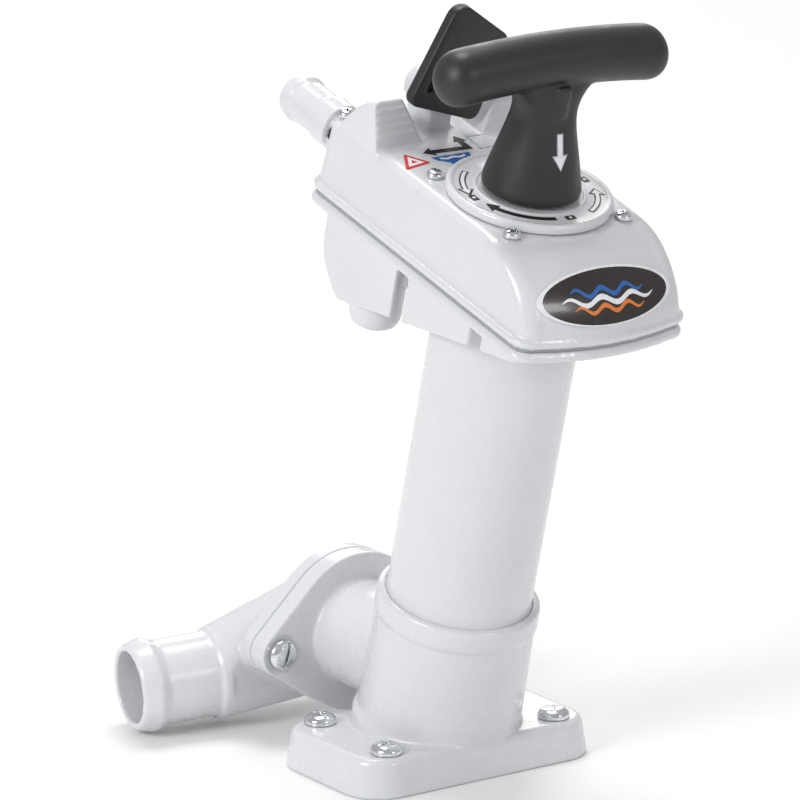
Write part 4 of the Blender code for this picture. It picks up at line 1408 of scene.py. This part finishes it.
@dataclass
class Marks:
    """Plain printed signs on the dial and the cover's top."""

    dial_face: float = 240.3
    top_face: float = 237.0
    thickness: float = 0.14

    def sheet(
        self,
        name: str,
        outline: Sequence[tuple[float, float]],
        face: float,
        ink: bpy.types.Material,
        slot: Slot = Slot.MOULDED,
    ) -> None:
        """Lay one flat inked shape on a face."""
        shape = Shop.prism(name, outline, face - 0.25, face + self.thickness, place=LEANING)
        finish_piece(shape, ink, "pump")

    @staticmethod
    def arc(
        radius: float, start: float, stop: float, width: float, steps: int = 20
    ) -> list[tuple[float, float]]:
        """Outline of a curved strip, angles in degrees.

        Args:
            radius: Radius of the strip's middle.
            start: Start angle.
            stop: End angle.
            width: Strip width.
            steps: Steps in each round stretch.

        Returns:
            The outline's points.
        """
        angles = [math.radians(start + (stop - start) * index / steps) for index in range(steps + 1)]
        outer = [((radius + width / 2) * math.cos(a), (radius + width / 2) * math.sin(a)) for a in angles]
        inner = [
            ((radius - width / 2) * math.cos(a), (radius - width / 2) * math.sin(a))
            for a in reversed(angles)
        ]
        return outer + inner

    @staticmethod
    def head(radius: float, angle: float, size: float, turn: int) -> list[tuple[float, float]]:
        """Arrow head at the end of an arc, pointing along the turn.

        Args:
            radius: Radius of the arc.
            angle: Where the head starts, in degrees.
            size: Two thirds of its width.
            turn: 1 anticlockwise, -1 clockwise.

        Returns:
            Its three corners.
        """
        a = math.radians(angle)
        tip = a + turn * size * 1.25 / radius
        return [
            ((radius + size * 0.75) * math.cos(a), (radius + size * 0.75) * math.sin(a)),
            ((radius - size * 0.75) * math.cos(a), (radius - size * 0.75) * math.sin(a)),
            (radius * math.cos(tip), radius * math.sin(tip)),
        ]

    def curved_arrow(
        self,
        name: str,
        radius: float,
        start: float,
        stop: float,
        width: float,
        hollow: bool,
        inks: dict[str, bpy.types.Material],
    ) -> None:
        """A curved arrow on the dial, solid or with a pale middle.

        Args:
            name: Start of its pieces' names.
            radius: Radius of the shaft's middle.
            start: Start angle in degrees.
            stop: End angle in degrees.
            width: Shaft width.
            hollow: Give it a pale middle.
            inks: Inks by name.
        """
        turn = 1 if stop > start else -1
        self.sheet(f"{name}_shaft", self.arc(radius, start, stop, width), self.dial_face, inks["black"])
        self.sheet(
            f"{name}_head",
            self.head(radius, stop, width * 1.7, turn),
            self.dial_face + 0.02,
            inks["black"],
        )
        if hollow:
            pale = self.arc(radius, start + turn * 1.4, stop + turn * 1.6, width * 0.55)
            self.sheet(f"{name}_shaft_core", pale, self.dial_face + 0.08, inks["white"])
            pale = self.head(radius, stop + turn * 1.2, width * 1.05, turn)
            self.sheet(f"{name}_head_core", pale, self.dial_face + 0.1, inks["white"])

    def catch_sign(
        self,
        name: str,
        place: tuple[float, float],
        angle: float,
        inks: dict[str, bpy.types.Material],
    ) -> None:
        """A small block with a pale dot, marking one end of the twist.

        Args:
            name: The object's name.
            place: Its centre on the dial.
            angle: Its turn in radians.
            inks: Inks by name.
        """
        cos, sin = math.cos(angle), math.sin(angle)
        outline = rounded_rectangle(2.2, 1.5, 0.5, 4)
        turned = [(place[0] + x * cos - y * sin, place[1] + x * sin + y * cos) for x, y in outline]
        self.sheet(name, turned, self.dial_face, inks["black"])
        dot = [(place[0] + x, place[1] + y) for x, y in Shop.circle(0.7, 20)]
        self.sheet(f"{name}_dot", dot, self.dial_face + 0.08, inks["white"])

    def build(self, finishes: Finishes) -> None:
        """Lay every mark.

        Args:
            finishes: The pump's finishes.
        """
        inks = finishes.inks
        self.curved_arrow("lock_arrow", 25.2, -101, -156, 2.5, False, inks)
        self.curved_arrow("turn_arrow_left", 26.6, 128, 163, 2.6, True, inks)
        self.curved_arrow("turn_arrow_right", 26.6, -62, -26, 2.6, True, inks)
        self.catch_sign("sign_front", (1.4, -25.6), 0.0, inks)
        self.catch_sign("sign_left", (-26.4, 0.4), math.pi / 2, inks)
        self.catch_sign("sign_right", (26.8, 1.0), math.pi / 2, inks)
        corners = [(-27.8, 46.9), (-34.6, 34.5), (-20.9, 37.3)]
        middle = (sum(x for x, _ in corners) / 3, sum(y for _, y in corners) / 3)
        self.sheet(
            "care_sign",
            rounded_polygon([(x, y, 0.8) for x, y in corners], 4),
            self.top_face,
            inks["red"],
        )
        for name, share, ink in (("care_sign_pale", 0.62, "white"), ("care_sign_core", 0.22, "red")):
            shrunk = [
                (middle[0] + (x - middle[0]) * share, middle[1] + (y - middle[1]) * share)
                for x, y in corners
            ]
            lift = 0.08 if ink == "white" else 0.14
            self.sheet(name, shrunk, self.top_face + lift, inks[ink])
        arrow = [
            (-14.8, 46.6), (0.2, 46.0), (0.2, 50.2), (-1.6, 50.2), (1.6, 55.0), (4.8, 50.2),
            (3.0, 50.2), (3.0, 43.2), (-14.8, 43.8), (-14.8, 42.0), (-19.4, 45.4), (-14.8, 48.6),
        ]
        self.sheet("way_arrow", arrow, self.top_face, inks["black"])
        bowl = [
            (-18.5, 41.0), (-0.5, 41.0), (-1.6, 38.0), (-4.6, 35.4),
            (-5.0, 33.4), (-13.0, 33.4), (-13.4, 35.4), (-17.2, 38.0),
        ]
        self.sheet("bowl_sign", bowl, self.top_face, inks["blue"])
        crest = [
            (-15.5, 39.9), (-12.5, 39.0), (-9.5, 39.9), (-6.5, 39.0), (-3.5, 39.9),
            (-3.8, 38.4), (-6.5, 37.6), (-9.5, 38.4), (-12.5, 37.6), (-15.2, 38.4),
        ]
        self.sheet("bowl_sign_wave", crest, self.top_face + 0.08, inks["white"])


# ---------------------------------------------------------------- handle and lever


@dataclass
class TeeHandle:
    """Tee handle: a waisted stem that spreads into an arched bar."""

    stem_low: float = 241.5
    bar_height: float = 292.8
    bar_arch: float = 3.6
    bar_radius: float = 11.5
    bar_half: float = 53.0

    def stem(self) -> bpy.types.Object:
        """The stem, round at its foot and squarer towards the bar.

        Returns:
            The new object.
        """
        stations = [
            (19.0, 19.0, self.stem_low, 2.0), (19.8, 19.8, 242.4, 2.0), (19.5, 19.5, 245, 2.0),
            (18.2, 18.2, 250, 2.05),
            (16.6, 16.4, 256, 2.15), (14.9, 14.4, 262, 2.3), (13.3, 12.6, 268, 2.5), (12.3, 11.3, 273, 2.7),
            (12.3, 10.6, 277, 2.8), (13.6, 10.2, 281, 2.8), (16.4, 9.8, 284.6, 2.7),
            (21.5, 9.0, 288, 2.5), (28.5, 7.0, 291.5, 2.2),
        ]
        rings = []
        for half_x, half_y, height, power in stations:
            ring = []
            for cos, sin in Shop.circle(1.0, 96):
                scale = (abs(cos) ** power + abs(sin) ** power) ** (-1 / power)
                ring.append((half_x * cos * scale, half_y * sin * scale, height))
            rings.append(ring)
        return Shop.loft("tee_handle", rings, LEANING)

    def bar(self) -> bpy.types.Object:
        """The arched bar with domed ends.

        Returns:
            The new object.
        """
        rings = []
        for index in range(61):
            share = -1 + index / 30
            bent = math.sin(share * math.pi / 2)
            across = self.bar_half * bent
            dome = max(0.0, (abs(across) - (self.bar_half - 10.5)) / 10.5)
            radius = (self.bar_radius - 0.5 * math.cos(share * math.pi / 2)) * math.sqrt(
                max(0.01, 1 - dome**2.3)
            )
            height = self.bar_height + self.bar_arch * (1 - (across / self.bar_half) ** 2)
            rings.append([(across, y, height + z) for y, z in Shop.circle(radius, 64)])
        return Shop.loft("bar", rings, LEANING)

    def build(self, finishes: Finishes) -> None:
        """Make the handle and the arrow on its stem.

        Args:
            finishes: The pump's finishes.
        """
        handle = self.stem()
        gusset = [(-2.2, 276.0), (2.2, 276.0), (3.4, 289.0), (-3.4, 289.0)]
        Shop.combine(
            handle, [self.bar(), Shop.prism("gusset", gusset, -11.6, 11.6, Axis.Y, LEANING)], "UNION"
        )
        cut = Shop.turned("rod_bore", [(6.3, 239), (6.3, 270.5)], 48, place=LEANING)
        Shop.combine(handle, [cut], "DIFFERENCE")
        Shop.mould(handle, 0.7, 14)
        finish_piece(handle, finishes.charcoal, "tee_handle", ["t_handle"])
        self.arrow(handle, finishes)

    def arrow(self, handle: bpy.types.Object, finishes: Finishes) -> None:
        """Lay a pale down arrow on the stem's front.

        Args:
            handle: The finished handle.
            finishes: The pump's finishes.
        """
        graph = bpy.context.evaluated_depsgraph_get()
        tree = BVHTree.FromObject(handle, graph)
        aim = LEANING.to_3x3() @ Vector((0, 1, 0))
        for name, grow, lift, ink in (
            ("stem_arrow_edge", 0.45, 0.1, "grey"),
            ("stem_arrow", 0.0, 0.2, "white"),
        ):
            work = bmesh.new()
            shaft = [(1.0 + grow, 269.6 + grow), (1.0 + grow, 261.4)]
            tip = [(2.9 + grow * 1.6, 261.4 + grow), (1.45 + grow * 0.8, 259.0), (0.05, 256.4 - grow)]
            for low, high in zip(shaft + tip, (shaft + tip)[1:]):
                if low[1] <= high[1]:
                    continue
                steps = max(1, round((low[1] - high[1]) / 0.6))
                rows = []
                for step in range(steps + 1):
                    share = step / steps
                    half = low[0] + (high[0] - low[0]) * share
                    level = low[1] + (high[1] - low[1]) * share
                    rows.append([work.verts.new((half * side, 0, level)) for side in (-1, -0.5, 0, 0.5, 1)])
                for upper, lower in zip(rows, rows[1:]):
                    for column in range(4):
                        work.faces.new((upper[column], upper[column + 1], lower[column + 1], lower[column]))
            bmesh.ops.remove_doubles(work, verts=work.verts, dist=0.02)
            for vert in work.verts:
                start = LEANING @ (Vector((vert.co.x, -40, vert.co.z)) * MM)
                hit, normal, _, _ = tree.ray_cast(start, aim)
                vert.co = (hit + normal * lift * MM) if hit else start
            mesh = bpy.data.meshes.new(name)
            work.to_mesh(mesh)
            work.free()
            obj = bpy.data.objects.new(name, mesh)
            bpy.context.scene.collection.objects.link(obj)
            thick = obj.modifiers.new("thick", "SOLIDIFY")
            thick.thickness = 0.2 * MM
            thick.offset = 0.0
            Shop.settle(obj)
            finish_piece(obj, finishes.inks[ink], "tee_handle")


@dataclass
class FlushLever:
    """The flat lever between the pods, with a sunk panel on its front."""

    front: float = 56.0
    thickness: float = 5.0
    pivot: float = 250.0

    def build(self, finishes: Finishes) -> None:
        """Make the lever.

        Args:
            finishes: The pump's finishes.
        """
        corners = [(-22, 3, 4), (-4.5, 46, 6), (22.5, 27, 5), (12.5, -8.5, 4)]
        outline = [(x, z + self.pivot) for x, z in rounded_polygon(corners)]
        lever = Shop.prism(
            "flush_lever_blade", outline, self.front, self.front + self.thickness, Axis.Y, LEANING
        )
        pocket = [
            (x, z + self.pivot)
            for x, z in rounded_polygon([(-15.5, 5.5, 1.5), (-8, 22, 1.5), (1, 14, 1.5)])
        ]
        cuts = [
            Shop.prism("pocket", pocket, self.front - 1, self.front + 3, Axis.Y, LEANING),
            Shop.turned(
                "hub",
                [(3.8, self.front + 2), (3.8, self.front + 6)],
                32,
                (0, self.pivot),
                LEANING,
                along=Axis.Y,
            ),
        ]
        Shop.combine(lever, cuts, "DIFFERENCE")
        Shop.crisp(lever, 0.9, 4)
        finish_piece(lever, finishes.charcoal, "lever", ["flush_lever"])


# ---------------------------------------------------------------- screws and carried nodes


@dataclass
class Screws:
    """Every bright screw, with its real drive."""

    foot: Foot

    def make(
        self,
        name: str,
        radius: float,
        head: float,
        height: float,
        seat: float,
        end: float,
        centre: tuple[float, float],
        finishes: Finishes,
        place: Matrix = UPRIGHT,
        along: Axis = Axis.Z,
        cross: bool = True,
        turn: float = 0.3,
    ) -> None:
        """One screw: domed head, cross or slot, and a threaded shank.

        Args:
            name: Its CAD node's name with _look added.
            radius: Shank radius.
            head: Head radius.
            height: Head height.
            seat: Where the head rests.
            end: Where the shank ends.
            centre: Its axis, across its own direction.
            finishes: The pump's finishes.
            place: Frame that the shape is made in.
            along: The axis that the shape runs along.
            cross: Cut a cross; otherwise a slot.
            turn: Turn of the drive in radians.
        """
        rise = 1 if seat > end else -1
        profile = [(radius * 0.5, end), (radius, end + rise * radius)]
        pitch = 1.4
        for ring in range(int(abs(seat - end) / pitch) - 2):
            level = end + rise * (radius + pitch * ring)
            profile += [(radius, level + rise * 0.2), (radius * 0.8, level + rise * 0.9)]
        profile += [
            (radius, seat - rise * 0.4),
            (radius, seat),
            (head, seat),
            (head, seat + rise * height * 0.22),
        ]
        for step in range(1, 9):
            angle = math.pi / 2 * step / 9
            profile.append(
                (
                    head * math.cos(angle) ** 0.75,
                    seat + rise * height * (0.22 + 0.78 * math.sin(angle)),
                )
            )
        screw = Shop.turned(name, profile, 48, centre, place, along=along)
        tools = []
        top = seat + rise * height
        low, high = sorted((top - rise * height * 0.55, top + rise * 2))
        reach = head * (0.5 if cross else 1.2)
        for tilt in (turn, turn + math.pi / 2) if cross else (turn,):
            cos, sin = math.cos(tilt), math.sin(tilt)
            half = head * 0.1
            corners = [(-reach, -half), (reach, -half), (reach, half), (-reach, half)]
            outline = [(centre[0] + x * cos - y * sin, centre[1] + x * sin + y * cos) for x, y in corners]
            tools.append(Shop.prism("drive", outline, low, high, along, place))
        Shop.combine(screw, tools, "DIFFERENCE")
        Shop.crisp(screw, 0.12, 2)
        finish_piece(screw, finishes.chrome, "pump", [name.removesuffix("_look")])

    def build(self, finishes: Finishes) -> None:
        """Make all twelve.

        Args:
            finishes: The pump's finishes.
        """
        places = [(sx * 41.1, sy * 23.7) for sx in (-1, 1) for sy in (-1, 1)]
        for index, spot in enumerate(places, 1):
            self.make(f"base_screw_{index}_look", 2.2, 6.6, 4.0, 16.3, 0.5, spot, finishes, turn=0.35 * index)
        tops = [(sx * 26.5, sy * 26.5, 194.5) for sx in (-1, 1) for sy in (-1, 1)] + [
            (-30.5, 83.4, 201.6),
            (30.5, 83.4, 201.6),
        ]
        for index, (x, y, end) in enumerate(tops, 1):
            name = f"cover_screw_{index}_look"
            self.make(name, 2.0, 3.5, 2.6, 237.3, end, (x, y), finishes, LEANING, turn=0.5 * index)
        for index, spot in enumerate(self.foot.lobes(), 1):
            name = f"flange_screw_{index}_look"
            self.make(name, 2.5, 6.5, 4.0, 55.5, 71.0, spot, finishes, along=Axis.Y, cross=False, turn=1.25)


def dress_frame(frame: dict, finishes: Finishes) -> None:
    """Give the carried CAD nodes their finishes.

    Args:
        finishes: The pump's finishes.
    """
    by_slot = {
        Slot.MOULDED: finishes.moulded,
        Slot.CHARCOAL: finishes.charcoal,
        Slot.CHROME: finishes.chrome,
        Slot.STEEL: finishes.steel,
        Slot.RUBBER: finishes.rubber,
        Slot.WEIGHT: finishes.weight,
        Slot.BADGE: finishes.badge,
    }
    for part in frame["record"]["subparts"]:
        node = frame["nodes"][part["node"]]
        material = by_slot[Slot(part["material_slot"])]
        if part["node"] == "top_valve_gasket":
            material = finishes.gasket
        node.data.materials.clear()
        node.data.materials.append(material)


# ---------------------------------------------------------------- studio


@dataclass
class Studio:
    """Floor, soft lights and the camera."""

    eye: tuple[float, float, float] = (-1.3939, -1.9852, 0.7984)
    right: tuple[float, float, float] = (0.82194, -0.56957, 0.0)
    up: tuple[float, float, float] = (0.14709, 0.21226, 0.96608)
    back: tuple[float, float, float] = (-0.55025, -0.79406, 0.25824)
    lens: float = 282.85

    def floor(self) -> None:
        """A plain pale flat floor."""
        work = bmesh.new()
        bmesh.ops.create_grid(work, x_segments=2, y_segments=2, size=12.0)
        floor = Shop.link("floor", work)
        board = NodeBoard("studio floor")
        tone = board.ramp(board.noise(2.0), [(0.3, (0.86, 0.86, 0.86)), (0.7, (0.88, 0.88, 0.88))])
        board.link(tone, board.shader.inputs["Base Color"])
        board.shader.inputs["Roughness"].default_value = 0.9
        floor.data.materials.append(board.material)

    def lamp(self, name: str, place: Point, size: float, power: float, tone: Point = (1, 1, 1)) -> None:
        """One square soft light aimed at the pump's middle.

        Args:
            name: The lamp's name.
            place: Where it stands, in metres.
            size: Its side in metres.
            power: Its power in watts.
            tone: Its colour.
        """
        data = bpy.data.lights.new(name, "AREA")
        data.shape = "SQUARE"
        data.size = size
        data.energy = power
        data.color = tone
        lamp = bpy.data.objects.new(name, data)
        lamp.location = place
        aim = Vector((0.0, -0.02, 0.15)) - Vector(place)
        lamp.rotation_euler = aim.to_track_quat("-Z", "Y").to_euler()
        bpy.context.scene.collection.objects.link(lamp)

    def build(self) -> None:
        """Set the studio."""
        self.floor()
        world = bpy.data.worlds.new("studio")
        world.use_nodes = True
        sky = world.node_tree.nodes["Background"]
        sky.inputs["Color"].default_value = (0.985, 0.99, 1.0, 1.0)
        sky.inputs["Strength"].default_value = 0.5
        bpy.context.scene.world = world
        bpy.context.scene.view_settings.view_transform = "Standard"
        self.lamp("key", (-2.2, -0.4, 1.3), 0.9, 30.0)
        self.lamp("front", (0.6, -2.3, 1.1), 0.4, 7.0)
        self.lamp("top", (0.2, 0.5, 1.9), 0.8, 16.0)
        self.lamp("back", (1.2, 1.9, 1.2), 1.2, 12.0)
        data = bpy.data.cameras.new("camera")
        data.lens = self.lens
        data.sensor_width = 36.0
        data.clip_end = 50.0
        camera = bpy.data.objects.new("camera", data)
        turn = Matrix((self.right, self.up, self.back)).transposed().to_4x4()
        camera.matrix_world = Matrix.Translation(self.eye) @ turn
        bpy.context.scene.collection.objects.link(camera)
        bpy.context.scene.camera = camera


def main() -> None:
    """Build the whole pump."""
    logging.basicConfig(level=logging.INFO, format="%(message)s")
    for obj in list(bpy.data.objects):
        bpy.data.objects.remove(obj, do_unlink=True)
    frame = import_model()
    finishes = Finishes()
    dress_frame(frame, finishes)
    foot = Foot()
    parts = [
        foot,
        Elbow(foot),
        Barrel(),
        Cover(),
        Dial(),
        Badge(),
        Marks(),
        TeeHandle(),
        FlushLever(),
        Screws(foot),
    ]
    for part in parts:
        part.build(finishes)
    Studio().build()
    bpy.context.view_layer.update()


if __name__ == "__main__":
    main()
